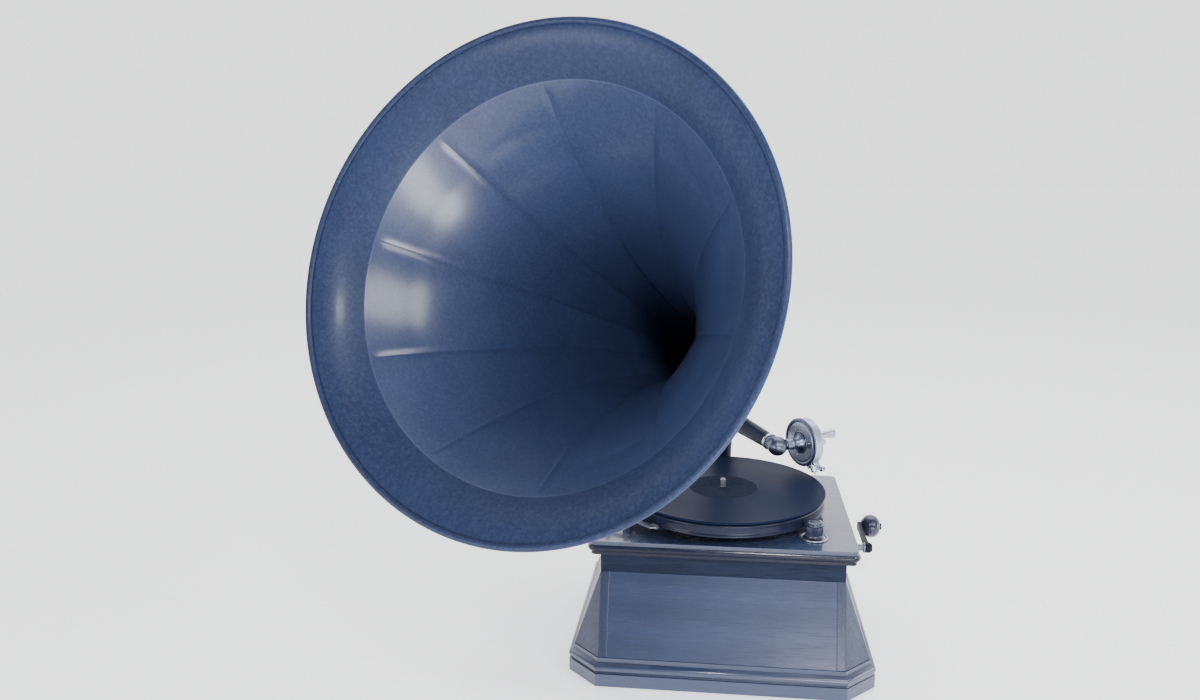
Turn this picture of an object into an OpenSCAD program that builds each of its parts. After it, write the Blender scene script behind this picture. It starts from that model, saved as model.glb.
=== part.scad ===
// Horn gramophone: a sloping wooden case with a spring motor, a platter and record,
// a swinging tone arm with its sound box, and a large gored horn on a rear bracket.
// The origin is the centre of the case's underside, the front faces -Y and +Z is up.

/* [Case] */
// Height of the case, to the top of the lid
case_h = 164; // [150:1:190]
// Width of the lid
lid_w = 308; // [300:1:330]
// Depth of the lid
lid_d = 268; // [264:1:290]
// Thickness of the lid
lid_t = 17; // [15:0.5:20]
// Radius of the lid's corners
lid_corner_r = 10; // [8:1:16]
// Width of the upright neck below the lid
neck_w = 278; // [270:1:290]
// Depth of the upright neck below the lid
neck_d = 251; // [244:1:258]
// Height of the upright neck
neck_h = 22; // [16:1:28]
// Thickness of the neck's rails
neck_t = 12; // [9:0.5:14]
// Thickness of the sloping boards
board_t = 9; // [7:0.5:11]
// Lean of the sloping boards from upright, in degrees
board_lean = 18.8; // [14:0.2:20]
// Height of the plinth
plinth_h = 33; // [28:1:38]
// How far the plinth stands out from the foot of the boards
plinth_out = 6; // [5:0.5:8]
// Thickness of the bottom board
bottom_t = 8; // [6:0.5:10]

/* [Record and platter] */
// Radius of the record
record_r = 125; // [120:1:127]
// Thickness of the record
record_t = 2.2; // [1.8:0.1:2.6]
// Radius of the platter
platter_r = 124; // [119:1:126]
// Height of the platter's rim
platter_h = 15.6; // [13:0.2:18]
// Thickness of the platter's pressed plate
platter_t = 2; // [1.4:0.2:2.6]
// Thickness of the felt mat
felt_t = 1; // [0.6:0.1:1.4]
// Gap between the lid and the platter's rim
platter_gap = 9; // [7:0.5:12]
// Radius of the spindle's tip, which the record's hole fits
spindle_tip_r = 3.6; // [3.5:0.05:3.65]
// Height of the spindle's tip above the record
spindle_tip_h = 11; // [7:0.5:12]
// Radius of the spindle below the platter
spindle_r = 4; // [3.8:0.1:4.4]
// Distance of the spindle in front of the case's centre
spindle_front = 7; // [4:0.5:8]

/* [Tone arm and sound box] */
// Distance of the horn bracket's axis behind the case's centre
arm_back = 165; // [160:1:172]
// Distance from the bracket's axis to the ball at the end of the arm
arm_len = 140; // [134:1:146]
// Angle of the arm from straight ahead, with the needle on the rim of the record
arm_rest = 29.1; // [26:0.1:32]
// Height of the arm's axis above the record, at the bracket
arm_rise = 46; // [44:0.5:50]
// Drop of the arm along its length
arm_drop = 7; // [5:0.5:9]
// Radius of the arm at the bracket
arm_root_r = 13; // [12:0.5:14]
// Radius of the arm at its end
arm_end_r = 10; // [9:0.5:11]
// Wall of the arm's tube
arm_wall = 1.5; // [1:0.1:2]
// Radius of the ball at the end of the arm
ball_r = 12.5; // [12:0.5:14]
// Distance from the ball's centre to the back of the sound box
box_neck_len = 36; // [32:1:40]
// Turn of the sound box away from square to the arm, in degrees
box_yaw = 4.9; // [0:0.1:8]
// Radius of the sound box
box_r = 31; // [29:0.5:33]
// Thickness of the sound box's housing
box_t = 12; // [11:0.5:14]
// Rake of the needle from upright, in degrees
needle_rake = 33; // [28:1:36]
// Radius of the needle
needle_r = 0.8; // [0.6:0.05:1]

/* [Horn] */
// Radius of the horn's mouth
mouth_r = 231; // [222:1:240]
// Radius where the gored bell meets the brim
bell_r = 186; // [178:1:194]
// Radius of the bell at its throat
throat_r = 23.3; // [22.8:0.1:26]
// Distance from the elbow's corner to the mouth
horn_len = 596; // [575:1:615]
// Depth of the brim along the horn's axis
brim_depth = 32; // [27:1:37]
// Thickness of the horn's sheet
sheet_t = 0.8; // [0.6:0.1:1.2]
// Number of gores
gores = 10; // [8:1:12]
// Height of the seams between the gores
seam_h = 2.2; // [1.6:0.1:3]
// Radius of the rolled bead at the mouth
bead_r = 3.2; // [2.6:0.1:4]
// Rise of the horn's axis above level, in degrees
horn_rise = 18.9; // [16:0.1:24]
// Turn of the horn to the left of straight ahead, in degrees
horn_turn = 18.3; // [13:0.1:23]
// Height of the elbow's corner above the record
elbow_rise = 115; // [112:1:118]
// Radius of the elbow's tube
elbow_r = 20; // [19:0.5:21]
// Wall of the elbow's tube
elbow_wall = 1.5; // [1:0.1:2]
// Bend radius of the elbow
elbow_bend = 30; // [28:1:31]

/* [Motor] */
// Module of the slow gears
slow_module = 1; // [1:0.05:1.1]
// Module of the fast gears
fast_module = 0.8; // [0.75:0.05:0.85]
// Teeth on the spring barrel
barrel_teeth = 84; // [80:1:86]
// Teeth on the pinions
pinion_teeth = 14; // [14:1:16]
// Teeth on the second wheel
wheel_teeth = 70; // [66:1:72]
// Teeth on the wheel that drives the governor
worm_wheel_teeth = 45; // [42:3:48]
// Teeth on the crown wheel
crown_teeth = 40; // [38:1:42]
// Teeth on the winding pinion
winding_teeth = 16; // [15:1:17]
// Module of the winding gears
winding_module = 1.5; // [1.4:0.05:1.6]
// Play between meshed teeth
backlash = 0.3; // [0.2:0.05:0.4]
// Thickness of the motor's plates
plate_t = 3; // [2.5:0.5:3.5]
// Distance between the motor's plates
motor_space = 86; // [84:1:90]
// Turns of the mainspring
spring_turns = 7; // [5:1:9]

/* [Crank] */
// Depth of the winding shaft below the top of the lid
crank_drop = 50; // [48:0.5:52]
// Distance of the winding shaft behind the case's centre
crank_back = 6; // [3:0.5:8]
// Throw of the crank
crank_throw = 74; // [65:1:76]
// Radius of the winding shaft
crank_r = 4; // [3.5:0.1:4.5]
// Distance of the crank's arm from the case's centre
crank_out = 178; // [178:0.5:184]
// Radius of the crank's knob
knob_r = 15; // [12:0.5:16]
// Length of the crank's knob
knob_len = 24.5; // [20:0.5:26]

/* [Hidden] */
$fn = 64;

// Clearances: seat is between pieces that rest on each other, run between pieces that turn
seat_gap = 0.1;
run_gap = 0.05;
rest_gap = 0.3;

// Case levels and the foot of the boards
lid_z = case_h - lid_t;
neck_z = lid_z - neck_h;
board_across = board_t / cos(board_lean);
foot_out = (neck_z - plinth_h) * tan(board_lean);
cant_step = tan(22.5);
plinth_in = board_across + 8;

// Levels of the platter and the record
platter_z = case_h + platter_gap;
platter_top = platter_z + platter_h;
felt_z = platter_top + seat_gap;
record_z = felt_z + felt_t + seat_gap;
record_top = record_z + record_t;
spindle_y = -spindle_front;
spindle_free_r = spindle_tip_r - 0.3;
elbow_z = record_top + elbow_rise;
hub_h = 9;
flange_r = 9;
flange_t = 3;

// Motor levels
crank_z = case_h - crank_drop;
washer_t = 5;
top_plate_z = lid_z - washer_t - plate_t;
bottom_plate_z = top_plate_z - motor_space - plate_t;
motor_in_z = bottom_plate_z + plate_t;
barrel_z = motor_in_z + 4;
barrel_h = 33;
gear_t = 4;
wheel_t = 3;
worm_z = crank_z;
crown_pitch_r = winding_module * crown_teeth / 2;
winding_pitch_r = winding_module * winding_teeth / 2;
crown_pitch_z = crank_z - winding_pitch_r;
crown_root = 1.1 * winding_module;
crown_tip = 0.8 * winding_module;
crown_top = crown_pitch_z - crown_root;
crown_width = 4;
wheel_z = crown_pitch_z + crown_tip + 2.8;

// Gear centres: the train arbor lies where both of its meshes have their distance
barrel_pitch_r = slow_module * barrel_teeth / 2;
barrel_x = 62;
barrel_y = crank_back;
slow_gap = slow_module * (barrel_teeth + pinion_teeth) / 2;
fast_gap = fast_module * (wheel_teeth + pinion_teeth) / 2;
motor_span = sqrt(barrel_x ^ 2 + (barrel_y - spindle_y) ^ 2);
motor_turn = atan2(barrel_y - spindle_y, barrel_x);
train_along = (fast_gap ^ 2 - slow_gap ^ 2 + motor_span ^ 2) / (2 * motor_span);
train_turn = motor_turn + acos(train_along / fast_gap);
train_x = fast_gap * cos(train_turn);
train_y = spindle_y + fast_gap * sin(train_turn);
train_arbor_r = 3;
barrel_arbor_r = 5;
barrel_r = barrel_pitch_r - 2;
barrel_wall = 3;
winding_x = barrel_x + crown_pitch_r;

// Governor: a worm of three threads beside the wheel on the spindle
worm_starts = 3;
worm_r = 5;
worm_len = 20;
worm_lead = worm_starts * PI * slow_module;
worm_wheel_r = slow_module * worm_wheel_teeth / 2;
worm_wheel_t = 1.6;
governor_y = spindle_y - worm_wheel_r - worm_r;
governor_r = 2;
governor_hub_x = -19;
governor_mid_x = -40;
governor_disc_x = -61;

// Motor plate outline and its fixings
plate_left = -88;
plate_right = 108;
plate_front = -62;
plate_rear = 64;
pillar_r = 5;
pillar_in = 8;
motor_screw_r = 2.4;
motor_screw_places = [[-70, -24], [-70, 36], [92, -34], [92, 46]];

// Speed regulator and brake, on the lid's front corners
// The regulator stands just off the record, on the line from the spindle to the neck's inner corner
regulator_r = 2.5;
regulator_knob_r = 10.5;
regulator_gap = 0.8;
regulator_turn = atan2(spindle_y - neck_t + neck_d / 2, neck_w / 2 - neck_t);
regulator_reach = record_r + regulator_knob_r + regulator_gap;
regulator_x = regulator_reach * cos(regulator_turn);
regulator_y = spindle_y - regulator_reach * sin(regulator_turn);
regulator_knob_h = 18;
regulator_plate_r = 16;
cam_out = 4;
cam_r = 1.5;
cam_gap = 0.3;
pad_gap = 0.6;
lever_z = lid_z - 13;
lever_t = 2;
lever_pivot = [-68, -80];
brake_x = -112;
brake_y = -88;
brake_pad_turn = 232;
brake_z = platter_z + 2;
brake_gap = 1;

// Tone arm frame
arm_z = record_top + arm_rise;
ball_z = arm_z - arm_drop;
arm_tilt = atan(arm_drop / arm_len);
boss_r = 18;
boss_wall = 2.5;
boss_z = arm_z - 24;
boss_top = arm_z + 23;
boss_floor = 8;
pivot_r = 3;
collar_len = 8;
neck_r = 7;
trunnion_r = 5;

// Sound box, measured along its axis from the ball's centre
box_z0 = box_neck_len;
box_z1 = box_z0 + box_t;
box_wall = 4;
box_back = 3;
ring_t = 2;
ring_in = 8;
diaphragm_t = 0.3;
gasket_t = 1.6;
diaphragm_z = box_z0 + box_t / 2 + 1;
needle_reach = (ball_z - record_top - rest_gap) / cos(needle_rake);
chuck_z = box_z0 + box_t / 2 + 1.5;
chuck_r = 4;
chuck_len = 9;
chuck_x = box_r + 1;

// Horn, measured along its axis from the elbow's corner
bend_angle = 90 - horn_rise;
bend_run = elbow_bend * tan(bend_angle / 2);
bend_z = elbow_z - bend_run;
spigot_end = bend_run + 40;
ferrule_z0 = bend_run + 3;
ferrule_z1 = spigot_end + 12;
throat_z = spigot_end + 1;
crease_z = horn_len - brim_depth;
flare = ln(bell_r / throat_r) / (crease_z - throat_z);
bell_rings = 12;
gore_points = 4;
seam_w = 3.2;
brim_rings = 8;

// Bracket levels
column_r = 12;
column_top = boss_z - 2 * rest_gap;
ring_z = boss_top + 2 * rest_gap;
ring_h = 16;
ring_r = 27;
ledge_h = 2;
elbow_foot = ring_z + ledge_h + rest_gap;
clamp_turn = 35;
clamp_r = 2.5;
link_r = 7;
link_back = 38;
link_bend = 12;
bend_step = 0.2;
bend_lap = 0.5;
bracket_foot_w = 70;
bracket_foot_h = 58;
bracket_foot_t = 6;
bracket_foot_z = 88;

// General shapes

// A solid between stacked or looped rings that all have the same number of points
module band(rings) {
    n = len(rings[0]);
    m = len(rings);
    faces = [for (i = [0 : m - 1]) for (j = [0 : n - 1])
        [i * n + j, ((i + 1) % m) * n + j, ((i + 1) % m) * n + (j + 1) % n, i * n + (j + 1) % n]];
    polyhedron(points = [for (ring = rings) each ring], faces = faces, convexity = 8);
}

function rad(degrees) = degrees * PI / 180;
function involute(base, r) = tan(acos(base / r)) * 180 / PI - acos(base / r);

// Outline of an involute gear with a tooth centred on the X axis
function gear_points(teeth, gear_module, play = backlash, steps = 3) =
    let (pitch = gear_module * teeth / 2)
    let (base = pitch * cos(20))
    let (root = pitch - 1.1 * gear_module)
    let (tip = pitch + 0.8 * gear_module)
    let (low = max(base, root) + 0.001)
    let (half = 90 / teeth - play / pitch * 45 / PI)
    let (flank = [for (k = [0 : steps]) low + (tip - low) * k / steps])
    let (reach = [for (r = flank) half + involute(base, pitch) - involute(base, r)])
    [for (i = [0 : teeth - 1]) let (mid = 360 * i / teeth) each concat(
        [root * [cos(mid - reach[0]), sin(mid - reach[0])]],
        [for (k = [0 : steps]) flank[k] * [cos(mid - reach[k]), sin(mid - reach[k])]],
        [for (k = [steps : -1 : 0]) flank[k] * [cos(mid + reach[k]), sin(mid + reach[k])]],
        [root * [cos(mid + reach[0]), sin(mid + reach[0])]])];

module gear(teeth, gear_module, thick, bore) {
    linear_extrude(height = thick, convexity = 6)
        difference() {
            polygon(gear_points(teeth, gear_module));
            circle(r = bore);
        }
}

module tube(r, inner, h) {
    difference() {
        cylinder(r = r, h = h);
        translate([0, 0, -1]) cylinder(r = inner, h = h + 2);
    }
}

module block(low, high) {
    translate(low) cube(high - low);
}

// Case

// Plan outline of the case's foot, moved out by a distance, with canted corners
function foot_ring(out, z) =
    let (x = neck_w / 2 + foot_out + out)
    let (y = neck_d / 2 + foot_out + out)
    let (cx = neck_w / 2 + out * cant_step)
    let (cy = neck_d / 2 + out * cant_step)
    [[x, -cy, z], [x, cy, z], [cx, y, z], [-cx, y, z], [-x, cy, z], [-x, -cy, z], [-cx, -y, z], [cx, -y,
        z]];

plinth_face = 15;
plinth_bead_r = 5.5;
plinth_profile = concat(
    [[-plinth_in, 0], [plinth_out, 0], [plinth_out, plinth_face], [plinth_out - 1.5, plinth_face + 0.5]],
    [for (a = [-60 : 20 : 80]) [plinth_out - 5, plinth_face + 6.5] + plinth_bead_r * [cos(a), sin(a)]],
    [[1, plinth_face + 13], [1, plinth_h], [-plinth_in, plinth_h]]);

module plinth() {
    color("#1c1f2b") band([for (p = plinth_profile) foot_ring(p[0], p[1])]);
}

module bottom_board() {
    color("#2a2a30")
        linear_extrude(height = bottom_t)
            polygon([for (p = foot_ring(-plinth_in - seat_gap, 0)) [p[0], p[1]]]);
}

module sloped_board(half, length) {
    translate([half, 0, 0])
        rotate([90, 0, 0])
            linear_extrude(height = length, center = true)
                polygon([[0, neck_z], [foot_out, plinth_h], [foot_out - board_across, plinth_h],
                    [-board_across, neck_z]]);
}

module side_board() {
    sloped_board(neck_w / 2, neck_d - 2 * board_across);
}

module end_board() {
    rotate([0, 0, -90]) sloped_board(neck_d / 2, neck_w - 2 * board_across);
}

module front_board() {
    color("#20242f") end_board();
}

module rear_board() {
    color("#20242f")
        difference() {
            rotate([0, 0, 180]) end_board();
            at_bracket_screws() translate([0, 0, -20]) cylinder(r = 1.6, h = 40);
        }
}

module left_board() {
    color("#20242f") rotate([0, 0, 180]) side_board();
}

module right_board() {
    color("#20242f")
        difference() {
            side_board();
            translate([0, crank_back, crank_z]) rotate([0, 90, 0]) cylinder(r = crank_r + 2, h = lid_w);
        }
}

// A post is flush with two boards at the neck and opens into a canted triangle at the foot
module corner_post() {
    x0 = neck_w / 2;
    y0 = neck_d / 2;
    low = [[x0 - board_across, y0 + foot_out], [x0, y0 + foot_out], [x0 + foot_out, y0],
        [x0 + foot_out, y0 - board_across], [x0 + foot_out - board_across, y0 - board_across],
        [x0 - board_across, y0 + foot_out - board_across]];
    high = [[x0 - board_across, y0], [x0, y0], [x0, y0 - board_across], [x0 - board_across,
        y0 - board_across]];
    polyhedron(
        points = concat([for (p = low) [p[0], p[1], plinth_h]], [for (p = high) [p[0], p[1], neck_z]]),
        faces = [[0, 1, 2, 3, 4, 5], [9, 8, 7, 6], [1, 0, 6, 7], [2, 1, 7], [3, 2, 7, 8], [4, 3, 8, 9],
            [5, 4, 9], [0, 5, 9, 6]]);
}

module corner_posts() {
    color("#20242f")
        for (mx = [0, 1]) for (my = [0, 1])
            mirror([mx, 0, 0]) mirror([0, my, 0]) corner_post();
}

module neck_frame() {
    color("#20242f")
        difference() {
            block([-neck_w / 2, -neck_d / 2, neck_z], [neck_w / 2, neck_d / 2, lid_z]);
            block([neck_t - neck_w / 2, neck_t - neck_d / 2, neck_z - 1],
                [neck_w / 2 - neck_t, neck_d / 2 - neck_t, lid_z + 1]);
        }
}

// Half section of the lid: a bead between a cove below and a fillet above
module lid_section(half) {
    bead = lid_t * 0.28;
    translate([4 - half, 0]) square([2 * half - 8, lid_t]);
    translate([2 - half, lid_t / 2]) square([2 * half - 4, lid_t / 2]);
    translate([bead - half, lid_t / 2 - bead]) square([2 * half - 2 * bead, 2 * bead]);
    for (side = [-1, 1]) translate([side * (half - bead), lid_t / 2]) circle(r = bead);
}

module lid_blank() {
    for (x = [-1, 1]) for (y = [-1, 1])
        translate([x * (lid_w / 2 - lid_corner_r), y * (lid_d / 2 - lid_corner_r), 0])
            rotate_extrude()
                intersection() {
                    lid_section(lid_corner_r);
                    square([lid_corner_r, lid_t]);
                }
    rotate([90, 0, 0])
        linear_extrude(height = lid_d - 2 * lid_corner_r, center = true) lid_section(lid_w / 2);
    rotate([90, 0, 90])
        linear_extrude(height = lid_w - 2 * lid_corner_r, center = true) lid_section(lid_d / 2);
}

module lid_board() {
    color("#39404f")
        translate([0, 0, lid_z])
            difference() {
                lid_blank();
                translate([0, spindle_y, -1]) cylinder(r = spindle_r + 4, h = lid_t + 2);
                translate([regulator_x, regulator_y, -1]) cylinder(r = regulator_r + 0.5, h = lid_t + 2);
                translate([brake_x, brake_y, 4]) cylinder(r = 3, h = lid_t);
                for (p = motor_screw_places) translate([p[0], p[1], -1])
                    cylinder(r = motor_screw_r + 0.2, h = lid_t + 2);
            }
}

bush_r = 8.5;
bush_flange_r = 13;

// The bush lies flat on the sloping board, and the winding shaft runs through it
module crank_bush() {
    board_x = neck_w / 2 + (neck_z - crank_z) * tan(board_lean);
    color("#9aa0ae")
        difference() {
            translate([board_x, crank_back, crank_z]) rotate([0, 90 - board_lean, 0]) {
                translate([0, 0, seat_gap]) cylinder(r = bush_flange_r, h = 2);
                cylinder(r = bush_r, h = 5);
            }
            translate([0, crank_back, crank_z])
                rotate([0, 90, 0]) cylinder(r = crank_r + run_gap, h = lid_w);
            inside_right_board();
        }
}

// Everything on the inner side of the right board's outer face
module inside_right_board() {
    reach = 3 * bush_flange_r;
    translate([neck_w / 2, 0, 0])
        rotate([90, 0, 0])
            linear_extrude(height = 2 * reach, center = true)
                polygon([[0, neck_z], [foot_out, plinth_h], [foot_out - reach, plinth_h], [-reach,
                    neck_z]]);
}

// Horn bracket, a casting on the rear board with the tone arm's pivot and the horn's ring

module at_bracket() {
    translate([0, arm_back, 0]) children();
}

// Frame with +Z out of the ring along the screw that clamps the horn
module at_clamp() {
    at_bracket() translate([0, 0, ring_z + ring_h / 2]) rotate([0, 90, clamp_turn]) children();
}

// Frame on the rear board's outer face, with +Z out of the board
module at_rear_face(z) {
    translate([0, neck_d / 2 + (neck_z - z) * tan(board_lean), z])
        rotate([board_lean - 90, 0, 0])
            children();
}

module at_bracket_screws() {
    for (x = [-1, 1]) for (y = [-1, 1])
        at_rear_face(bracket_foot_z)
            translate([x * (bracket_foot_w / 2 - 9), y * (bracket_foot_h / 2 - 9),
                bracket_foot_t + seat_gap])
                children();
}

function rear_y(z) = neck_d / 2 + (neck_z - z) * tan(board_lean) + bracket_foot_t / 2;

module bracket_foot() {
    at_rear_face(bracket_foot_z)
        translate([-bracket_foot_w / 2, -bracket_foot_h / 2, seat_gap])
            cube([bracket_foot_w, bracket_foot_h, bracket_foot_t]);
}

module bracket_web() {
    low = bracket_foot_z - 24;
    high = bracket_foot_z + 24;
    rotate([90, 0, 90])
        linear_extrude(height = 10, center = true)
            polygon([[rear_y(low), low], [arm_back, low + 14], [arm_back, high + 40], [rear_y(high),
                high]]);
}

module link_bar(h) {
    cylinder(r = link_r, h = h);
}

module link_corner(turn) {
    rotate([90, 0, 0])
        rotate([0, 0, turn])
            rotate_extrude(angle = 90)
                translate([link_bend, 0]) circle(r = link_r - bend_step);
}

// The bar that carries the ring leaves the column, passes behind the tone arm and comes back
module bracket_link() {
    low = column_top - 12;
    high = ring_z + ring_h / 2;
    rise = high - low - 2 * link_bend;
    bend_at = link_back - link_bend;
    rotate([0, 0, 90]) {
        translate([0, 0, low]) rotate([0, 90, 0]) link_bar(bend_at + bend_lap);
        translate([bend_at, 0, low + link_bend]) link_corner(-90);
        translate([link_back, 0, low + link_bend - bend_lap]) link_bar(rise + 2 * bend_lap);
        translate([bend_at, 0, high - link_bend]) link_corner(0);
        translate([elbow_r + 3, 0, high]) rotate([0, 90, 0]) link_bar(bend_at + bend_lap - elbow_r - 3);
    }
}

module bracket_column() {
    column_z = bracket_foot_z - 14;
    at_bracket() {
        translate([0, 0, column_z]) cylinder(r = column_r, h = column_top - column_z);
        translate([0, 0, column_z - 9]) cylinder(r1 = 4, r2 = column_r, h = 9);
        translate([0, 0, column_top - 5]) cylinder(r = column_r + 3, h = 5);
    }
}

module bracket_ring() {
    at_bracket() {
        translate([0, 0, ring_z]) cylinder(r = ring_r, h = ring_h);
        bracket_link();
    }
}

module horn_bracket() {
    color("#23262e")
        difference() {
            union() {
                union() {
                    bracket_foot();
                    bracket_web();
                    bracket_column();
                }
                bracket_ring();
            }
            at_bracket() {
                translate([0, 0, column_top - 20]) cylinder(r = pivot_r, h = 21);
                translate([0, 0, ring_z + ledge_h]) cylinder(r = elbow_r + run_gap, h = ring_h);
                translate([0, 0, ring_z - 1]) cylinder(r = elbow_r - elbow_wall, h = ring_h);
            }
            at_clamp() cylinder(r = clamp_r + seat_gap, h = ring_r + 1);
            at_bracket_screws() translate([0, 0, -bracket_foot_t - 1])
                cylinder(r = 2.2, h = bracket_foot_t + 2);
        }
}

module bracket_screws() {
    color("#8d93a0")
        at_bracket_screws() {
            translate([0, 0, seat_gap]) cylinder(r1 = 4, r2 = 3, h = 1.6);
            translate([0, 0, -13]) cylinder(r = 1.5, h = 13 + seat_gap + 0.5);
        }
}

module horn_clamp_screw() {
    start = elbow_r + rest_gap;
    color("#9aa0ae")
        at_clamp() {
            translate([0, 0, start]) cylinder(r = clamp_r, h = ring_r - start + 5);
            translate([0, 0, ring_r + 4]) cylinder(r = 6, h = 5);
        }
}

module arm_pivot() {
    color("#9aa0ae")
        at_bracket() {
            translate([0, 0, column_top - 20]) cylinder(r = pivot_r - 0.02, h = 20 + boss_floor - 1);
            translate([0, 0, column_top + 0.02]) cylinder(r = 7, h = rest_gap);
        }
}

// Motor

module at_spindle(z = 0) {
    translate([0, spindle_y, z]) children();
}

module at_train(z = 0) {
    translate([train_x, train_y, z]) children();
}

module at_barrel(z = 0) {
    translate([barrel_x, barrel_y, z]) children();
}

module motor_plate(z) {
    difference() {
        block([plate_left, plate_front, z], [plate_right, plate_rear, z + plate_t]);
        at_spindle(z - 1) cylinder(r = spindle_r + run_gap, h = plate_t + 2);
        at_train(z - 1) cylinder(r = train_arbor_r + run_gap, h = plate_t + 2);
        at_barrel(z - 1) cylinder(r = barrel_arbor_r + run_gap, h = plate_t + 2);
    }
}

// The top plate carries a lug and a stud for the governor's lever and two hanging bearings
module motor_top_plate() {
    color("#a9aeb8") {
        difference() {
            motor_plate(top_plate_z);
            for (p = motor_screw_places)
                translate([p[0], p[1], top_plate_z - 1]) cylinder(r = motor_screw_r, h = plate_t + 2);
        }
        block([lever_pivot[0] - 8, lever_pivot[1] - 8, top_plate_z], [lever_pivot[0] + 8, plate_front + 1,
            top_plate_z + plate_t]);
        translate([lever_pivot[0], lever_pivot[1], lever_z - 1])
            cylinder(r = 2, h = top_plate_z - lever_z + 2);
        hanging_ear(governor_disc_x - 16, governor_y, 3, 5, worm_z - 7, governor_r + run_gap);
        hanging_ear(worm_len / 2 + 3, governor_y, 3, 5, worm_z - 7, governor_r + run_gap);
    }
}

module motor_bottom_plate() {
    color("#a9aeb8") motor_plate(bottom_plate_z);
}

module motor_pillars() {
    color("#c0a45c")
        for (x = [plate_left + pillar_in, plate_right - pillar_in]) for (y = [plate_front + pillar_in,
            plate_rear - pillar_in])
            translate([x, y, motor_in_z]) cylinder(r = pillar_r, h = top_plate_z - motor_in_z);
}

module motor_screws() {
    color("#8d93a0")
        for (p = motor_screw_places) {
            translate([p[0], p[1], top_plate_z - 2])
                cylinder(r = motor_screw_r - 0.05, h = case_h - top_plate_z + 2.5);
            translate([p[0], p[1], case_h + 0.05]) cylinder(r1 = 5, r2 = 4, h = 2);
        }
}

module motor_washers() {
    color("#26262a")
        for (p = motor_screw_places)
            translate([p[0], p[1], top_plate_z + plate_t])
                tube(7, motor_screw_r + 0.3, lid_z - top_plate_z - plate_t);
}

module hanging_ear(x, y, thick, half, low, bore) {
    difference() {
        block([x, y - half, low], [x + thick, y + half, top_plate_z + 0.5]);
        translate([x - 1, y, worm_z]) rotate([0, 90, 0]) cylinder(r = bore, h = thick + 2);
    }
}

// The bracket is bent to a U, with a stud for the click on its outer leg
module winding_bracket() {
    leg_t = 3;
    outer_x = winding_x + 8;
    top = top_plate_z - seat_gap;
    color("#a9aeb8") {
        difference() {
            block([winding_x - 10, crank_back - 9, crank_z - 7], [outer_x + leg_t, crank_back + 22, top]);
            block([winding_x - 10 + leg_t, crank_back - 10, crank_z - 8], [outer_x, crank_back + 23,
                top - leg_t]);
            at_crank(winding_x - 11) cylinder(r = crank_r + run_gap, h = 24);
        }
        at_crank(ratchet_x - 0.5) translate(click_pivot) cylinder(r = 1.5, h = outer_x - ratchet_x + 1);
    }
}

module spindle() {
    color("#b5bac4")
        at_spindle() {
            translate([0, 0, bottom_plate_z - plate_t])
                cylinder(r = spindle_r, h = platter_top - hub_h - flange_t - bottom_plate_z + plate_t);
            translate([0, 0, platter_top - hub_h - flange_t]) cylinder(r = flange_r, h = flange_t);
            translate([0, 0, platter_top - hub_h])
                cylinder(r = spindle_tip_r, h = record_top - platter_top + hub_h);
            translate([0, 0, record_top]) cylinder(r = spindle_free_r, h = spindle_tip_h - 2);
            translate([0, 0, record_top + spindle_tip_h - 2])
                cylinder(r1 = spindle_free_r, r2 = 1.6, h = 2);
            translate([0, 0, wheel_z - 1]) spindle_pinion();
        }
}

// The pinion's gap faces the train wheel
module spindle_pinion() {
    rotate([0, 0, train_turn + 180 / pinion_teeth])
        gear(pinion_teeth, fast_module, wheel_t + 2, spindle_r - 0.5);
}

module platter() {
    color("#aab0bd")
        at_spindle(platter_z)
            rotate_extrude() {
                translate([spindle_tip_r + seat_gap, platter_h - hub_h + seat_gap])
                    square([flange_r - 2, hub_h - seat_gap]);
                translate([spindle_tip_r + seat_gap, platter_h - platter_t])
                    square([platter_r - platter_t - spindle_tip_r, platter_t]);
                translate([platter_r - platter_t, 2]) square([platter_t, platter_h - 4]);
                translate([platter_r - 2, platter_h - 2]) circle(r = 2);
                translate([platter_r - 2, 2]) circle(r = 2);
            }
}

module felt_mat() {
    color("#2b3a33") at_spindle(felt_z) tube(platter_r - 3, spindle_tip_r + 1, felt_t);
}

module record() {
    color("#0d0e12")
        at_spindle(record_z)
            rotate_extrude() {
                translate([spindle_tip_r + run_gap, 0])
                    square([record_r - record_t / 2 - spindle_tip_r - run_gap, record_t]);
                translate([record_r - record_t / 2, record_t / 2]) circle(r = record_t / 2);
            }
}

// Round holes in a wheel's web, between its hub and its rim
module web_holes(hub, rim, h) {
    for (i = [0 : 4])
        rotate([0, 0, 72 * i]) translate([(hub + rim) / 2, 0, -1])
            cylinder(r = 0.31 * (rim - hub), h = h + 2);
}

// A tooth of the wheel points at the worm
module worm_wheel() {
    color("#c0a45c")
        at_spindle(worm_z - worm_wheel_t / 2)
            difference() {
                union() {
                    rotate([0, 0, -90]) gear(worm_wheel_teeth, slow_module, worm_wheel_t, spindle_r - 1);
                    cylinder(r = 2 * spindle_r, h = worm_wheel_t + 4);
                }
                translate([0, 0, -1]) cylinder(r = spindle_r, h = worm_wheel_t + 6);
                web_holes(2 * spindle_r, worm_wheel_r - 1.5, worm_wheel_t);
            }
}

module train_arbor() {
    color("#b5bac4")
        at_train() {
            translate([0, 0, bottom_plate_z - 1])
                cylinder(r = train_arbor_r, h = top_plate_z + plate_t - bottom_plate_z);
            translate([0, 0, barrel_z - 1]) rotate([0, 0, train_pinion_turn])
                gear(pinion_teeth, slow_module, gear_t + 2, train_arbor_r - 0.5);
        }
}

// The pinion's gap faces the barrel, and a tooth of the wheel faces the spindle
barrel_turn = atan2(train_y - barrel_y, train_x - barrel_x);
train_pinion_turn = barrel_turn + 180 + 180 / pinion_teeth;

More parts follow.
